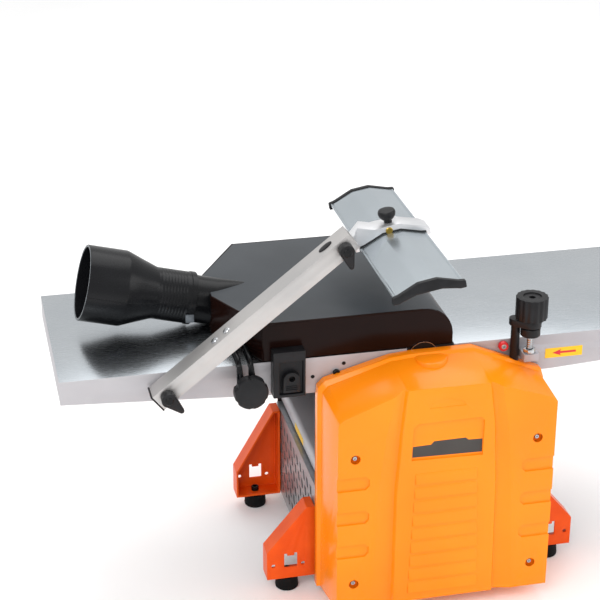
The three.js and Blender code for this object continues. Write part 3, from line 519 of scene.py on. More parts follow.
def shell(name, rings, wall):
    """A moulded shell: outlines of (x, z) in mm at depths y in mm, bridged and given a wall."""
    loops = []
    for points, y in rings:
        bpy.ops.object.select_all(action="DESELECT")
        bpy.ops.mesh.primitive_circle_add(vertices=len(points), fill_type="NOTHING")
        loops.append(bpy.context.object)
        for vertex, (x, z) in zip(loops[-1].data.vertices, points):
            vertex.co = Vector((x, y, z)) * MM
    piece = join(loops, name)
    bpy.ops.object.mode_set(mode="EDIT")
    bpy.ops.mesh.select_all(action="SELECT")
    bpy.ops.mesh.bridge_edge_loops()
    bpy.ops.mesh.select_all(action="DESELECT")
    bpy.ops.object.mode_set(mode="OBJECT")
    last = rings[-1][1] * MM
    for edge in piece.data.edges:
        ends = [piece.data.vertices[i].co.y for i in edge.vertices]
        edge.select = all(abs(y - last) < 1e-6 for y in ends)
    for vertex in piece.data.vertices:
        vertex.select = abs(vertex.co.y - last) < 1e-6
    bpy.ops.object.mode_set(mode="EDIT")
    bpy.ops.mesh.select_mode(type="EDGE")
    bpy.ops.mesh.edge_face_add()
    bpy.ops.mesh.select_all(action="SELECT")
    bpy.ops.mesh.normals_make_consistent(inside=False)
    bpy.ops.mesh.select_mode(type="VERT")
    bpy.ops.object.mode_set(mode="OBJECT")
    pick(piece)
    skin = piece.modifiers.new("wall", "SOLIDIFY")
    skin.thickness = wall * MM
    skin.offset = -1
    bpy.ops.object.modifier_apply(modifier=skin.name)
    return piece


cover = shell(
    "front_cover_moulded",
    [
        (cover_rim, -136.5),
        (cover_rim, -149),
        (cover_step, -152.5),
        (cover_step, -154.5),
        (cover_face, -218),
    ],
    8.5,
)
FACE_Y = -218


def lofted(name, rings):
    """A closed skin over matching rings of points in mm."""
    loops = []
    for points in rings:
        bpy.ops.object.select_all(action="DESELECT")
        bpy.ops.mesh.primitive_circle_add(vertices=len(points), fill_type="NOTHING")
        loops.append(bpy.context.object)
        for vertex, point in zip(loops[-1].data.vertices, points):
            vertex.co = Vector(point) * MM
    first, last = rings[0], rings[-1]
    piece = join(loops, name)
    bpy.ops.object.mode_set(mode="EDIT")
    bpy.ops.mesh.select_all(action="SELECT")
    bpy.ops.mesh.bridge_edge_loops()
    bpy.ops.mesh.select_all(action="DESELECT")
    bpy.ops.object.mode_set(mode="OBJECT")
    for end in (first, last):
        near = [Vector(p) * MM for p in end]
        for vertex in piece.data.vertices:
            vertex.select = any((vertex.co - p).length < 1e-6 for p in near)
        for edge in piece.data.edges:
            edge.select = all(piece.data.vertices[i].select for i in edge.vertices)
        for face in piece.data.polygons:
            face.select = False
        bpy.ops.object.mode_set(mode="EDIT")
        bpy.ops.mesh.select_mode(type="EDGE")
        bpy.ops.mesh.edge_face_add()
        bpy.ops.mesh.select_all(action="DESELECT")
        bpy.ops.mesh.select_mode(type="VERT")
        bpy.ops.object.mode_set(mode="OBJECT")
    bpy.ops.object.mode_set(mode="EDIT")
    bpy.ops.mesh.select_all(action="SELECT")
    bpy.ops.mesh.normals_make_consistent(inside=False)
    bpy.ops.object.mode_set(mode="OBJECT")
    bpy.ops.object.shade_smooth_by_angle(angle=math.radians(40))
    return piece


def pressed(points, depth):
    """A cutter that sinks an outline of (x, z) in mm into the cover's face by a depth in mm."""
    start = [(x, FACE_Y + depth, z) for x, z in points]
    return drawn_from("face_cutter", start, (0, -1, 0), depth + 6)


# Each flute runs down beside the shield: a broad slope falls inwards to a steep wall at its edge.
for side, edges in (
    (-1, [(352, 51, 68), (280, 58, 79), (190, 64, 90), (10, 66, 97)]),
    (1, [(352, 53, 68), (280, 63, 81), (190, 68, 90), (10, 70, 97)]),
):
    stations = []
    for z, edge, start in edges:
        groove = [
            (start, -226),
            (start, FACE_Y),
            (edge + 7, FACE_Y + 5),
            (edge + 3, FACE_Y + 5),
            (edge, FACE_Y),
            (edge, -226),
        ]
        stations.append([(side * x, y, z) for x, y in groove])
    cut(cover, lofted("flute_cutter", stations))
# Side recesses near the edges, and the label panel sunk into the shield.
for top in (220, 170, 120):
    for side, edge in ((-1, 101), (1, 104)):
        points = [
            (153, top),
            (edge + 5, top),
            (edge, top - 5),
            (edge, top - 14),
            (edge + 5, top - 19),
            (153, top - 19),
        ]
        cut(cover, pressed([(side * x, z) for x, z in points], 3.2))
panel = [(-46, 236), (49, 234), (49.5, 284), (45, 289), (-39, 288), (-44, 283)]
cut(cover, pressed(panel, 3.4))
# A raised thumb-hold under the top ridge leaves a shallow crescent in the face below it.
crescent = [
    (24 * math.cos(a), 309 + 11 * math.sin(a)) for a in [math.pi * i / 10 for i in range(11)]
]
cut(cover, pressed(crescent, 0.7))
for x, z in ((-120, 246.5), (123, 249.5), (-120, 60), (123, 60)):
    well = [(0, 0), (6.5, 0), (6.5, 22), (0, 22)]
    cut(cover, spun("well_cutter", well, (x, FACE_Y + 10, z), FRONT, 32))
ease(cover, 1.1, 3, 24)
fit(cover, orange_abs, "frame", "orange_plastic", "front_cover")
# Ribs across the shield's foot, like closed louvres.
for row in range(9):
    z = 213 - row * 20.5
    reach = 40 + row * 0.8
    outline = [
        (-reach, FACE_Y + 0.6, z - 13),
        (-reach, FACE_Y - 2.6, z - 12),
        (-reach, FACE_Y - 0.4, z + 3),
        (-reach, FACE_Y + 0.6, z + 4),
    ]
    rib = ease(drawn_from(f"cover_rib_{row}", outline, (1, 0, 0), 2 * reach + 2), 0.35, 2)
    fit(rib, orange_abs, "frame", "orange_plastic")
# The thumb-hold itself: a half-round boss on the sloping top.
boss_profile = [(0, 330), (21, 330), (21, 349.5), (20, 351), (17, 351.8), (0, 352)]
boss = spun("cover_boss", boss_profile, (-6, -158, 0), (0, 0, 1), 48)
fit(boss, orange_abs, "frame", "orange_plastic")
# A blank dark strip across the label panel's foot.
strip_print = finish("dark_label_print", "#3A3632", "#34302D", (0.35, 0.45), 2.0, 0.004, 0.0, 40)
strip = [(x, -214.5, z) for x, z in ((-44.5, 239), (48.6, 237), (48.6, 256), (30, 256.5))]
strip += [(x, -214.5, z) for x, z in ((26, 260), (-16, 259.5), (-20, 255), (-44.5, 254.5))]
label = drawn_from("cover_label_strip", strip, (0, -1, 0), 0.25)
fit(ease(label, 0, 1), strip_print, "frame", "orange_plastic")
for index, (x, z) in enumerate(((-120, 246.5), (123, 249.5), (-120, 60), (123, 60))):
    cap = screw(f"cover_screw_{index}", (x, FACE_Y + 6.8, z), FRONT, 3.2, 3, 1.4)
    fit(cap, zinc_steel, "frame", "steel")
    cup_wall = [(0, -1.4), (7.6, -1.4), (7.6, 7), (6.5, 7), (6.5, 0), (0, 0)]
    cup = spun(f"cover_cup_{index}", cup_wall, (x, FACE_Y + 7.6, z), FRONT, 32)
    fit(cup, orange_abs, "frame", "orange_plastic")

# The cutter's bearing housing shows over the cover's top edge as a black disc in a bright ring.
disc = spun(
    "bearing_housing_end", [(0, 0), (19, 0), (19, 0.9), (0, 0.9)], (-10, -135, 343), FRONT, 64
)
fit(disc, black_oxide, "frame", "black_plastic")
rim = spun(
    "bearing_housing_rim",
    [(19, 0), (19.6, 0), (19.6, 1.1), (19, 1.1)],
    (-10, -135, 343),
    FRONT,
    64,
)
fit(rim, zinc_steel, "frame", "steel")

# ------------------------------------------------------------------ rear cover
# The rear cover is a plainer moulding in the same orange ABS over the chain side and the crank's
# gear, with vents for the motor and a hole for the crank.

def drawn_in(points, amount):
    """An outline of (x, z) in mm moved towards its middle by an amount in mm."""
    return [(x - math.copysign(amount, x), z - math.copysign(amount, z - 165)) for x, z in points]


rear_rim = [
    (140, 20),
    (-140, 20),
    (-140, 300),
    (-136, 310),
    (-126, 318),
    (126, 318),
    (136, 310),
    (140, 300),
]
rear = shell(
    "rear_cover_moulded",
    [
        (rear_rim, 136.5),
        (drawn_in(rear_rim, 1), 148),
        (drawn_in(rear_rim, 3), 149),
        (drawn_in(rear_rim, 6), 199),
    ],
    2.6,
)
CRANK = (118, 90)
cut(
    rear,
    spun(
        "crank_cutter",
        [(0, 0), (7.5, 0), (7.5, 40), (0, 40)],
        (CRANK[0], 180, CRANK[1]),
        (0, 1, 0),
        32,
    ),
)
louvres = []
for row in range(9):
    z = 70 + row * 13
    slot_corners = [
        (-70, 190, z),
        (30, 190, z),
        (33, 190, z + 2.5),
        (30, 190, z + 5),
        (-70, 190, z + 5),
        (-73, 190, z + 2.5),
    ]
    louvres.append(drawn_from("louvre_cutter", slot_corners, (0, 1, 0), 20))
cut(rear, join(louvres, "louvre_cutters"))
raised = [(-110, 206), (110, 206), (110, 285), (100, 295), (-100, 295), (-110, 285)]
cut(rear, drawn_from("rear_panel_cutter", [(x, 197.6, z) for x, z in raised], (0, 1, 0), 10))
for x, z in ((-122, 290), (122, 290), (-122, 45), (70, 45)):
    cut(rear, spun("well_cutter", [(0, 0), (7, 0), (7, 30), (0, 30)], (x, 190, z), (0, 1, 0), 32))
ease(rear, 1.0, 3, 24)
fit(rear, orange_abs, "frame", "orange_plastic", "rear_cover")
for index, (x, z) in enumerate(((-122, 290), (122, 290), (-122, 45), (70, 45))):
    cap = screw(f"rear_screw_{index}", (x, 191, z), (0, 1, 0), 5.5, 3.4, 2)
    fit(cap, zinc_steel, "frame", "steel")

# ------------------------------------------------------------------ chip hood
# The hood is a thin black ABS moulding clamped over the cutter: satin on its flat top, glossy on
# its sides, with a bead round the top edge and a conical fairing that grows into the spout.
satin_black_abs = finish(
    "satin_black_abs", "#33383D", "#2A2F34", (0.38, 0.5), 1.0, 0.02, 0.0, 90, Specular_IOR_Level=0.35
)
glossy_black_abs = finish(
    "glossy_black_abs", "#1F0F0B", "#160A08", (0.16, 0.26), 1.6, 0.01, 0.0, 120, Specular_IOR_Level=0.1
)
moulded_black = finish(
    "moulded_black_abs", "#0F1013", "#0A0B0D", (0.22, 0.34), 0.9, 0.02, 0.0, 60, Specular_IOR_Level=0.22
)
HOOD = {
    "left": -222,
    "far_left": -211,
    "right": 30,
    "outlet": -270,
    "half": 134.5,
    "neck": 37,
    "base": 355.4,
    "top": 409,
}


def hood_ring(grow):
    """The hood's plan as points in mm, moved outwards by grow."""
    g, s = grow, grow * 0.45
    return [
        (HOOD["outlet"] - g, HOOD["neck"] + s),
        (HOOD["outlet"] - g, -HOOD["neck"] - s),
        (HOOD["left"] - s, -HOOD["half"] - g),
        (HOOD["right"] + g, -HOOD["half"] - g),
        (HOOD["right"] + g, HOOD["half"] + g),
        (HOOD["far_left"] - s, HOOD["half"] + g),
    ]


hood = drawn_from(
    "chip_hood_moulded", [(x, y, HOOD["base"]) for x, y in hood_ring(0)], (0, 0, 1), 53.6
)
pick(hood)
# The infeed side rolls over in a broad curve.
for edge in hood.data.edges:
    ends = [hood.data.vertices[i].co for i in edge.vertices]
    edge.select = all(v.x > 0.029 and v.z > 0.4 for v in ends)
for face in hood.data.polygons:
    face.select = False
for vertex in hood.data.vertices:
    vertex.select = vertex.co.x > 0.029 and vertex.co.z > 0.4
bpy.ops.object.mode_set(mode="EDIT")
bpy.ops.mesh.select_mode(type="EDGE")
bpy.ops.mesh.bevel(offset=40 * MM, segments=14, profile=0.5, affect="EDGES")
bpy.ops.mesh.select_mode(type="VERT")
bpy.ops.object.mode_set(mode="OBJECT")
ease(hood, 2.2, 4, 40)
hood.data.materials.append(glossy_black_abs)
paint_faces(hood, satin_black_abs, lambda c, n: n.z > 0.75 and c.z > 0.39)
bottom = [p.index for p in hood.data.polygons if p.normal.z < -0.9 and p.center.z < 0.356]
for face in hood.data.polygons:
    face.select = face.index in bottom
pick(hood)
bpy.ops.object.mode_set(mode="EDIT")
bpy.ops.mesh.select_mode(type="FACE")
bpy.ops.mesh.delete(type="FACE")
bpy.ops.object.mode_set(mode="OBJECT")
pick(hood)
hood_skin = hood.modifiers.new("wall", "SOLIDIFY")
hood_skin.thickness = 2.4 * MM
hood_skin.offset = -1
bpy.ops.object.modifier_apply(modifier=hood_skin.name)
bpy.ops.object.shade_smooth_by_angle(angle=math.radians(32))
fit(hood, glossy_black_abs, "frame", "black_plastic", "chip_hood")


def tube(name, path, radius, sides=12):
    """A round rod through points in mm, with closed ends."""
    curve = bpy.data.curves.new(name, "CURVE")
    curve.dimensions = "3D"
    curve.bevel_depth = radius * MM
    curve.bevel_resolution = sides // 4
    curve.use_fill_caps = True
    line = curve.splines.new("POLY")
    line.points.add(len(path) - 1)
    for point, place in zip(line.points, path):
        point.co = (*(Vector(place) * MM), 1)
    piece = bpy.data.objects.new(name, curve)
    scene.collection.objects.link(piece)
    pick(piece)
    bpy.ops.object.convert(target="MESH")
    piece = bpy.context.object
    bpy.ops.object.shade_smooth_by_angle(angle=math.radians(50))
    return piece


# The bead along the hood's top edge.
edge_z = HOOD["top"] - 1.2
for index, (side, corner) in enumerate(((1, HOOD["left"]), (-1, HOOD["far_left"]))):
    path = [
        (-12, side * (0.6 - HOOD["half"]), edge_z),
        (corner - 0.6, side * (0.6 - HOOD["half"]), edge_z),
        (HOOD["outlet"] + 1.2, side * (0.4 - HOOD["neck"]), edge_z),
    ]
    fit(tube(f"hood_bead_{index}", path, 1.3), glossy_black_abs, "frame", "black_plastic")

# The spout: a slim cone that lies on the hood's top and swells into the round outlet pipe.
SPOUT_TILT = math.radians(14.2)
OUT = Vector((-math.cos(SPOUT_TILT), 0, math.sin(SPOUT_TILT)))
MOUTH = Vector((-433, 0, 428.7))


def on_spout(distance):
    """The point on the spout's axis at a distance in mm behind the adaptor's mouth."""
    return MOUTH - OUT * distance


def spout_ring(distance, radius):
    """A circle square to the spout's axis."""
    centre = on_spout(distance)
    up = Vector((math.sin(SPOUT_TILT), 0, math.cos(SPOUT_TILT)))
    turns = [2 * math.pi * i / 48 for i in range(48)]
    return [centre + Vector((0, radius * math.cos(a), 0)) + up * radius * math.sin(a) for a in turns]


tip = [
    Vector((-204, math.cos(2 * math.pi * i / 48), 405 + math.sin(2 * math.pi * i / 48)))
    for i in range(48)
]
fairing_rings = [spout_ring(112, 30.5), spout_ring(113, 31.5), spout_ring(174, 31.5)]
for share in (0.25, 0.5, 0.75, 1.0):
    fairing_rings.append([a.lerp(b, share) for a, b in zip(spout_ring(174, 31.5), tip)])
fairing = lofted("hood_spout", fairing_rings)
bore = [(0, 0), (28.5, 0), (28.5, 90), (0, 90)]
cut(fairing, spun("spout_cutter", bore, on_spout(180), OUT, 48))
ease(fairing, 0, 1)
fit(fairing, moulded_black, "frame", "black_plastic")

# ------------------------------------------------------------------ hose adaptor
# The adaptor is a stepped black ABS sleeve that pushes on to the spout and takes a 100 mm hose. Fine
# rings are turned into its narrow end, and the mould's parting line runs along both sides.
sleeve = [
    (47.4, 0.6),
    (49.4, 0),
    (50, 0.8),
    (50, 51.5),
    (49.6, 54),
    (42, 74),
    (34.9, 93.6),
    (34.4, 96),
]
for groove in range(9):
    s = 99 + groove * 4.2
    sleeve += [(34.4, s), (34.25, s + 0.4), (34.25, s + 0.8), (34.4, s + 1.2)]
sleeve += [(34.4, 139), (35.3, 140), (35.3, 146.4), (34.8, 147), (32, 147), (32, 96), (47, 54), (47, 1)]
adaptor = spun("hose_adaptor_turned", sleeve, MOUTH, -OUT, 96)
fit(adaptor, moulded_black, "adaptor", "black_plastic", "hose_adaptor")
rim_line = spun(
    "adaptor_rim",
    [(46.9, -0.1), (49.6, -0.1), (49.6, 0.4), (46.9, 0.4)],
    MOUTH + OUT * -0.2,
    -OUT,
    96,
)
worn_black = finish("worn_black_edge", "#6E747A", "#4B5055", (0.35, 0.5), 0.8, 0.01, 0.0, 12)
fit(rim_line, worn_black, "adaptor", "black_plastic")
for index, side in enumerate((1, -1)):
    seam = [
        MOUTH - OUT * s + Vector((0, side * (radius + 0.05), 0))
        for s, radius in ((2, 50), (53, 49.8), (95, 34.7), (145, 34.4))
    ]
    fit(tube(f"adaptor_seam_{index}", seam, 0.45, 8), moulded_black, "adaptor", "black_plastic")
clip_at = on_spout(140) + Vector((0, -33, -16))
clip = bar("adaptor_clip", clip_at - Vector((7, 3, 5)), clip_at + Vector((4, 2, 6)), 0.8)
fit(clip, worn_black, "adaptor", "black_plastic")

# ------------------------------------------------------------------ hood clamp and latch
# Two black rods hook over the table's edge from the hood to a round knob that pinches the skirt;
# beside them a moulded housing on the skirt holds a sliding bolt that locks the hood.
textured_black = finish(
    "textured_black_plastic", "#1A1A1D", "#111113", (0.36, 0.5), 0.8, 0.04, 0.0, 25, Specular_IOR_Level=0.25
)
yoke = worked("hood_clamp_yoke", 0.9, 2)
fit(yoke, moulded_black, "frame", "black_plastic", "hood_clamp_yoke")
for index, (x, start) in enumerate(((-255, -72), (-240, -103))):
    rod = [
        (x, start, 366),
        (x, -128, 366),
        (x + 0.3, -138, 365),
        (x + 0.8, -144.5, 360),
        (x + 1.5, -148, 352),
        (x + 3, -150, 342),
        (x + 5 - index * 6, -151, 334),
    ]
    fit(tube(f"hood_clamp_rod_{index}", rod, 3.1), moulded_black, "frame", "black_plastic")
CLAMP = Vector((-243.5, -159, 330.5))
dish = [
    (3.2, 0),
    (21.2, 0),
    (22, 1),
    (22, 10),
    (21, 12.5),
    (18, 14),
    (0, 14),
    (0, 2),
    (3.2, 2),
]
star = spun("hood_clamp_knob_moulded", dish, CLAMP, FRONT, 72)
for lobe in range(6):
    a = math.pi * (lobe + 0.5) / 3
    place = CLAMP + Vector((24.5 * math.cos(a), 3, 24.5 * math.sin(a)))
    cut(star, spun("lobe_cutter", [(0, 0), (4.6, 0), (4.6, 30), (0, 30)], place, FRONT, 24))
ease(star, 0.7, 2, 35)
fit(star, textured_black, "clamp_knob", "black_plastic", "hood_clamp_knob")
stem = spun(
    "hood_clamp_stud", [(0, 0), (3, 0), (3, 24), (0, 24)], (CLAMP.x, -136, CLAMP.z), FRONT, 24
)
fit(stem, zinc_steel, "clamp_knob", "steel")
for node, body in (("hood_latch_housing", "frame"), ("hood_latch_slide", "latch_slide")):
    fit(worked(node, 1.0, 3), textured_black, body, "black_plastic", node)
for row in range(3):
    z = 321 + row * 2.6
    ridge = bar(f"latch_ridge_{row}", (-196, -155.2, z), (-181, -153.8, z + 1.2), 0.3, 1)
    fit(ridge, textured_black, "latch_slide", "black_plastic")

# ------------------------------------------------------------------ depth adjuster
# A black post bolted to the cheek carries a slanting link, and in its eye the depth knob, whose
# threaded spindle raises and lowers the infeed table. A red washer and screw lock the setting.
fit(worked("depth_bracket", 0.8, 3), textured_black, "frame", "black_plastic", "depth_bracket")
DEPTH = (129, -152)
lobed = []
for i in range(96):
    a = 2 * math.pi * i / 96
    radius = 20.4 + 0.55 * math.cos(16 * a)
    lobed.append((DEPTH[0] + radius * math.cos(a), DEPTH[1] + radius * math.sin(a), 391))
knob = drawn_from("depth_knob_moulded", lobed, (0, 0, 1), 30)
cut(knob, spun("top_cutter", [(0, 0), (12, 0), (12, 9), (0, 9)], (*DEPTH, 419.4), (0, 0, 1), 48))
cut(knob, spun("centre_cutter", [(0, 0), (4.2, 0), (4.2, 9), (0, 9)], (*DEPTH, 414), (0, 0, 1), 32))
ease(knob, 0.8, 3, 40)
fit(knob, textured_black, "depth_knob", "black_plastic", "depth_knob")
neck = [(0, 366), (12.4, 366), (13, 366.8), (13, 376), (12.2, 377), (10, 377.2), (10, 392), (0, 392)]
fit(
    spun("depth_knob_neck", neck, (*DEPTH, 0), (0, 0, 1), 48),
    textured_black,
    "depth_knob",
    "black_plastic",
)
thread = [(0, 328)]
for turn in range(12):
    z = 328 + turn * 3.1
    thread += [(3.5, z), (4, z + 0.8), (4, z + 1.6), (3.5, z + 2.4)]
thread += [(3.5, 366.5), (0, 366.5)]
spindle = spun("depth_spindle", thread, (*DEPTH, 0), (0, 0, 1), 24)
fit(spindle, zinc_steel, "depth_knob", "steel")
red_abs = finish("red_abs", "#D21A1F", "#C01318", (0.25, 0.36), 1.5, 0.01, 0.0, 20)
lock_ring = [(3, 0), (6, 0), (6.5, 0.6), (6.5, 5.4), (5.8, 6.4), (4, 6.4), (3, 5)]
ring = spun("depth_lock_washer", lock_ring, (98, -135.5, 346.5), FRONT, 40)
fit(ring, red_abs, "infeed", "red_plastic", "depth_lock_screw")
lock = screw("depth_lock_cap_screw", (98, -137, 346.5), FRONT, 3.8, 4.6, 2)
fit(lock, zinc_steel, "infeed", "steel")
nut = drawn_from(
    "depth_nut",
    [
        (129 + 8.4 * math.cos(math.pi * i / 3), -152 + 8.4 * math.sin(math.pi * i / 3), 341.3)
        for i in range(6)
    ],
    (0, 0, 1),
    5.5,
)
cut(nut, spun("nut_cutter", [(0, 0), (4.4, 0), (4.4, 20), (0, 20)], (129, -152, 335), (0, 0, 1), 24))
fit(ease(nut, 0.5, 2), zinc_steel, "infeed", "steel")
sticker = bar("feed_direction_label", (158, -135.35, 320.5), (210, -134.9, 334.5), 0.1, 1)
fit(sticker, label_yellow, "infeed", "aluminium")
arrow_red = finish("label_red_print", "#D3222A", "#C81D25", (0.4, 0.5), 2.0, 0.004, 0.0, 30)
head_points = [(168, 327.5), (180, 332), (179, 329), (201, 329), (201, 326), (179, 326), (180, 323)]
pointer = drawn_from("feed_arrow", [(x, -135.45, z) for x, z in head_points], (0, 1, 0), 0.2)
fit(ease(pointer, 0, 1), arrow_red, "infeed", "red_plastic")

# ------------------------------------------------------------------ guard arm
# The arm is an anodised aluminium box tube that pivots on the outfeed table's skirt. A cap closes
# its low end, two riveted screws and an oval plug sit on its top, and a wing knob locks each pivot.
anodised_aluminium = finish(
    "anodised_aluminium", "#C2BFBD", "#B7B5B4", (0.36, 0.46), 0.9, 0.01, 0.75, 80, (0.08, 1, 0.08)
)
ARM_PIVOT = Vector((-349.6, 0, 339.4))
TILT_PIVOT = Vector((-125.1, 0, 517))
ARM_ALONG = (TILT_PIVOT - ARM_PIVOT).normalized()
ARM_UP = Vector((-ARM_ALONG.z, 0, ARM_ALONG.x))
fit(worked("guard_arm", 1.0, 3), anodised_aluminium, "arm", "aluminium", "guard_arm")
fit(worked("arm_end_cap", 0.6, 2), textured_black, "arm", "black_plastic", "arm_end_cap")


def on_arm(x, y, rise):
    """A point in mm on the arm, at a given X and Y, above its centre line."""
    along = (x - ARM_PIVOT.x - ARM_UP.x * rise) / ARM_ALONG.x
    point = ARM_PIVOT + ARM_ALONG * along + ARM_UP * rise
    return (point.x, y, point.z)


for index, x in enumerate((-272, -287)):
    rivet = [(0, -1), (5, -1), (5, 0.6), (4.2, 1.7), (2, 2.4), (0, 2.5)]
    fit(
        spun(f"arm_rivet_{index}", rivet, on_arm(x, -158, 11.7), ARM_UP, 32),
        zinc_steel,
        "arm",
        "steel",
    )
plug_points = []
for i in range(32):
    a = 2 * math.pi * i / 32
    centre = Vector(on_arm(-146, -155, 11.3))
    plug_points.append(centre + ARM_ALONG * 10 * math.cos(a) + Vector((0, 5.5 * math.sin(a), 0)))
plug = drawn_from("arm_oval_plug", plug_points, ARM_UP, 1.4)
fit(ease(plug, 0.5, 2), textured_black, "arm", "black_plastic")


def wing(name, pivot, tail):
    """A wing knob: a round hub that sweeps down to a narrow tail, thicker at the hub."""
    end = Vector((pivot.x + tail[0], 0, pivot.z + tail[1]))
    run = end - pivot
    heading = math.atan2(run.z, run.x)
    points = []
    for i in range(21):
        a = heading + math.pi / 2 + math.pi * i / 20
        points.append((pivot.x + 9.5 * math.cos(a), 0, pivot.z + 9.5 * math.sin(a)))
    for i in range(9):
        a = heading - math.pi / 2 + math.pi * i / 8
        points.append((end.x + 3.4 * math.cos(a), 0, end.z + 3.4 * math.sin(a)))
    plate = drawn_from(name, [(x, -170.6, z) for x, _, z in points], (0, -1, 0), 15)
    for vertex in plate.data.vertices:
        if vertex.co.y < -0.18:
            reach = (vertex.co / MM - pivot).dot(run) / run.length_squared
            vertex.co.y += 6.5 * MM * min(max(reach, 0), 1)
    return ease(plate, 1.8, 4, 35)


for name, node, body, pivot, tail in (
    ("arm_wing_knob", "arm_pivot_knob", "arm_knob", ARM_PIVOT, (16, -19)),
    ("tilt_wing_knob", "guard_tilt_knob", "tilt_knob", TILT_PIVOT, (7, -22)),
):
    fit(wing(name, pivot, tail), textured_black, body, "black_plastic", node)
    cap_profile = [(0, 0), (5.4, 0), (5.4, 1.2), (4.6, 2), (0, 2.1)]
    hub = spun(name + "_cap", cap_profile, (pivot.x, -184.4, pivot.z), FRONT, 32)
    fit(hub, moulded_black, body, "black_plastic")
tilt_pin = spun(
    "tilt_pin",
    [(0, 0), (4, 0), (4, 41), (0, 41)],
    (TILT_PIVOT.x, -129.8, TILT_PIVOT.z),
    FRONT,
    24,
)
fit(tilt_pin, zinc_steel, "tilt_knob", "steel")

# ------------------------------------------------------------------ bridge guard
# The guard is an aluminium extrusion of five flats with a lip along each edge, closed at both ends
# by arched black caps. A bright holder bridges it, pinched by a mushroom knob on a brass insert.
silver_anodised = finish(
    "silver_anodised_extrusion", "#B4BCC1", "#ADB5BA", (0.22, 0.27), 1.4, 0.003, 0.85, 120, (1, 0.03, 1)
)
GUARD_TILT = math.radians(10)
GUARD_CENTRE = Vector((-46, 0, 496))
GUARD_ALONG = Vector((math.cos(GUARD_TILT), 0, math.sin(GUARD_TILT)))
GUARD_UP = Vector((-math.sin(GUARD_TILT), 0, math.cos(GUARD_TILT)))
guard_low, guard_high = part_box("guard_profile")


def on_guard(x, y, z):
    """A point in mm given across, along and above the tilted guard."""
    return GUARD_CENTRE + GUARD_ALONG * x + Vector((0, y, 0)) + GUARD_UP * z


arch = [
    (-44, 0.2),
    (-42.8, 1.0),
    (-41.6, 0.6),
    (-40.8, 0.2),
    (-40, 1.0),
    (-38, 1.2),
    (-12.6, 10.8),
    (-11.4, 11),
    (11.4, 11),
    (12.6, 10.8),
    (38, 1.2),
    (40, 1.0),
    (40.8, 0.2),
    (41.6, 0.6),
    (42.8, 1.0),
    (44, 0.2),
]
under = [(x, z - 2.4) for x, z in reversed(arch)]
section = [on_guard(x, guard_low.y / MM, z) for x, z in arch + under]
guard = drawn_from("guard_extrusion", section, (0, 1, 0), (guard_high.y - guard_low.y) / MM)
ease(guard, 0.15, 1, 50)
fit(guard, silver_anodised, "guard", "aluminium", "guard_profile")
cap_arch = [
    (-46, 1.0),
    (-43, 1.7),
    (-38, 2.6),
    (-12, 12.6),
    (12, 12.6),
    (38, 2.6),
    (43, 1.7),
    (46, 1),
    (46, -8),
    (38, -8),
    (34, -6.5),
    (16, -2),
    (-16, -2),
    (-34, -6.5),
    (-38, -8),
    (-46, -8),
]
for node in ("guard_cap_near", "guard_cap_far"):
    low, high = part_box(node)
    outline = [on_guard(x, low.y / MM, z) for x, z in cap_arch]
    cap = drawn_from(node + "_moulded", outline, (0, 1, 0), (high.y - low.y) / MM)
    fit(ease(cap, 1.1, 3, 20), textured_black, "guard", "black_plastic", node)
bright_cast = finish(
    "bright_cast_aluminium", "#DEDEE0", "#CFD0D2", (0.3, 0.42), 1.6, 0.02, 0.7, 40
)
fit(worked("guard_holder", 0.9, 3), bright_cast, "holder", "aluminium", "guard_holder")
SLOT_Y = -107
# A dark band on the holder's face at the slot is painted shadow of the thin gap between the holder and the
# guard's top.
slot_painted_shadow = finish("slot_shadow", "#1C1C1D", "#151516", (0.6, 0.7), 1.0, 0.01, 0.0, 20)
slot_line = [(-44.4, 1.2), (-38, 2.4), (-12, 12.2), (12, 12.2), (38, 2.4), (44.4, 1.2)]
slot_band = [(x, z + 1.2) for x, z in slot_line] + [(x, z - 0.6) for x, z in reversed(slot_line)]
groove = drawn_from(
    "holder_slot_painted_shadow", [on_guard(x, SLOT_Y - 0.15, z) for x, z in slot_band], (0, 1, 0), 0.5
)
fit(ease(groove, 0, 1), slot_painted_shadow, "holder", "black_plastic")
brass = finish("turned_brass", "#B79A4A", "#A3873C", (0.25, 0.38), 0.8, 0.01, 1.0, 8)
pad = spun(
    "holder_brass_pad",
    [(0, 0), (4.6, 0), (4.6, 1.4), (3.8, 2), (0, 2)],
    on_guard(-3, SLOT_Y + 0.6, 14.5),
    FRONT,
    32,
)
fit(pad, brass, "holder", "steel")
mushroom = [
    (0, 20.8),
    (5.2, 20.8),
    (5.2, 23.6),
    (8.2, 26.2),
    (10.6, 29.6),
    (11.5, 33),
    (11.2, 35.6),
    (10.2, 37.2),
    (8.4, 37.9),
    (3, 38.3),
    (0, 38.4),
]
middle_y = -93.5
button = spun("guard_clamp_knob_turned", mushroom, on_guard(0, middle_y, 0), GUARD_UP, 48)
fit(button, textured_black, "guard_knob", "black_plastic", "guard_clamp_knob")
stud_profile = [(0, 12.3), (3, 12.3), (3, 21), (0, 21)]
stud = spun("guard_clamp_stud", stud_profile, on_guard(0, middle_y, 0), GUARD_UP, 24)
fit(stud, zinc_steel, "guard_knob", "steel")

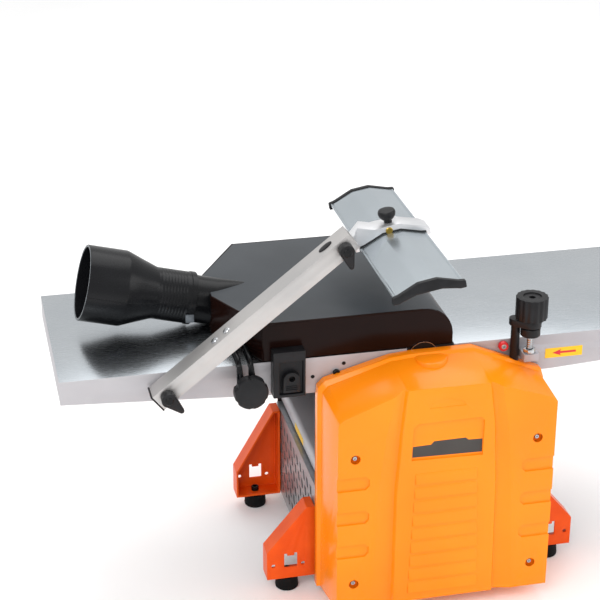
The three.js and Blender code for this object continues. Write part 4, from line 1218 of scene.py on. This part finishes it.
# ------------------------------------------------------------------ switch box
# A black switch box on the base's infeed end, with a green start button and a red stop button in
# round wells, and a cable gland beside it.
fit(worked("switch_box", 1.4, 3), textured_black, "frame", "black_plastic", "switch_box")
green_abs = finish("green_abs", "#1F9A47", "#198A3E", (0.25, 0.36), 1.5, 0.01, 0.0, 20)
FACE_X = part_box("switch_box")[1].x / MM
for name, body, slot, material, node, y, radius, rise in (
    ("start_button_moulded", "start", "green_plastic", green_abs, "start_button", -20, 9, 2),
    ("stop_button_moulded", "stop", "red_plastic", red_abs, "stop_button", -52, 11, 6),
):
    shape = [
        (0, -5),
        (radius, -5),
        (radius, rise - 1.4),
        (radius - 1.2, rise),
        (radius - 2.4, rise),
        (radius - 3.4, rise - 0.7),
        (0, rise - 0.9),
    ]
    button = spun(name, shape, (FACE_X, y, 104), (1, 0, 0), 48)
    fit(button, material, body, slot, node)
for index, (y, z) in enumerate(((-66, 72), (-4, 72), (-66, 136), (-4, 136))):
    fixing = screw(f"switch_screw_{index}", (FACE_X - 0.2, y, z), (1, 0, 0), 3.2, 1.4, 1.4)
    fit(fixing, zinc_steel, "frame", "steel")
fit(worked("cable_gland", 0.7, 2), black_nylon, "frame", "black_plastic", "cable_gland")

# ------------------------------------------------------------------ studio
# A pale seamless floor, a bright white surround and three large soft lamps.
bpy.ops.object.select_all(action="DESELECT")
bpy.ops.mesh.primitive_plane_add(size=12, location=(0, 0, 0))
floor = bpy.context.object
floor.name = "studio_floor"
paper = finish("studio_paper", "#FFFFFF", "#FDFDFD", (0.8, 0.9), 3.0, 0.01, 0.0, 400)
floor.data.materials.append(paper)
world = bpy.data.worlds.new("studio_surround")
world.use_nodes = True
world.node_tree.nodes["Background"].inputs["Color"].default_value = (1, 1, 1, 1)
world.node_tree.nodes["Background"].inputs["Strength"].default_value = 0.85
scene.world = world
for name, place, size, power in (
    ("key_softbox", (-1.6, -2.2, 2.4), 1.6, 40),
    ("fill_softbox", (2.2, -1.6, 1.6), 1.8, 22),
    ("top_softbox", (0.2, 0.8, 2.6), 2.2, 30),
):
    lamp = bpy.data.lights.new(name, "AREA")
    lamp.shape = "SQUARE"
    lamp.size = size
    lamp.energy = power
    stand = bpy.data.objects.new(name, lamp)
    stand.location = place
    aim = Vector((0, 0, 0.3)) - Vector(place)
    stand.rotation_euler = aim.to_track_quat("-Z", "Y").to_euler()
    scene.collection.objects.link(stand)
scene.view_settings.view_transform = "Standard"
lens = bpy.data.cameras.new("product_camera")
lens.lens = 102.2
lens.sensor_width = 36
lens.clip_end = 50
camera = bpy.data.objects.new("product_camera", lens)
camera.location = (-0.599, -2.038, 1.316)
camera.rotation_euler = (math.radians(65.75), 0, math.radians(-12.6))
scene.collection.objects.link(camera)
scene.camera = camera
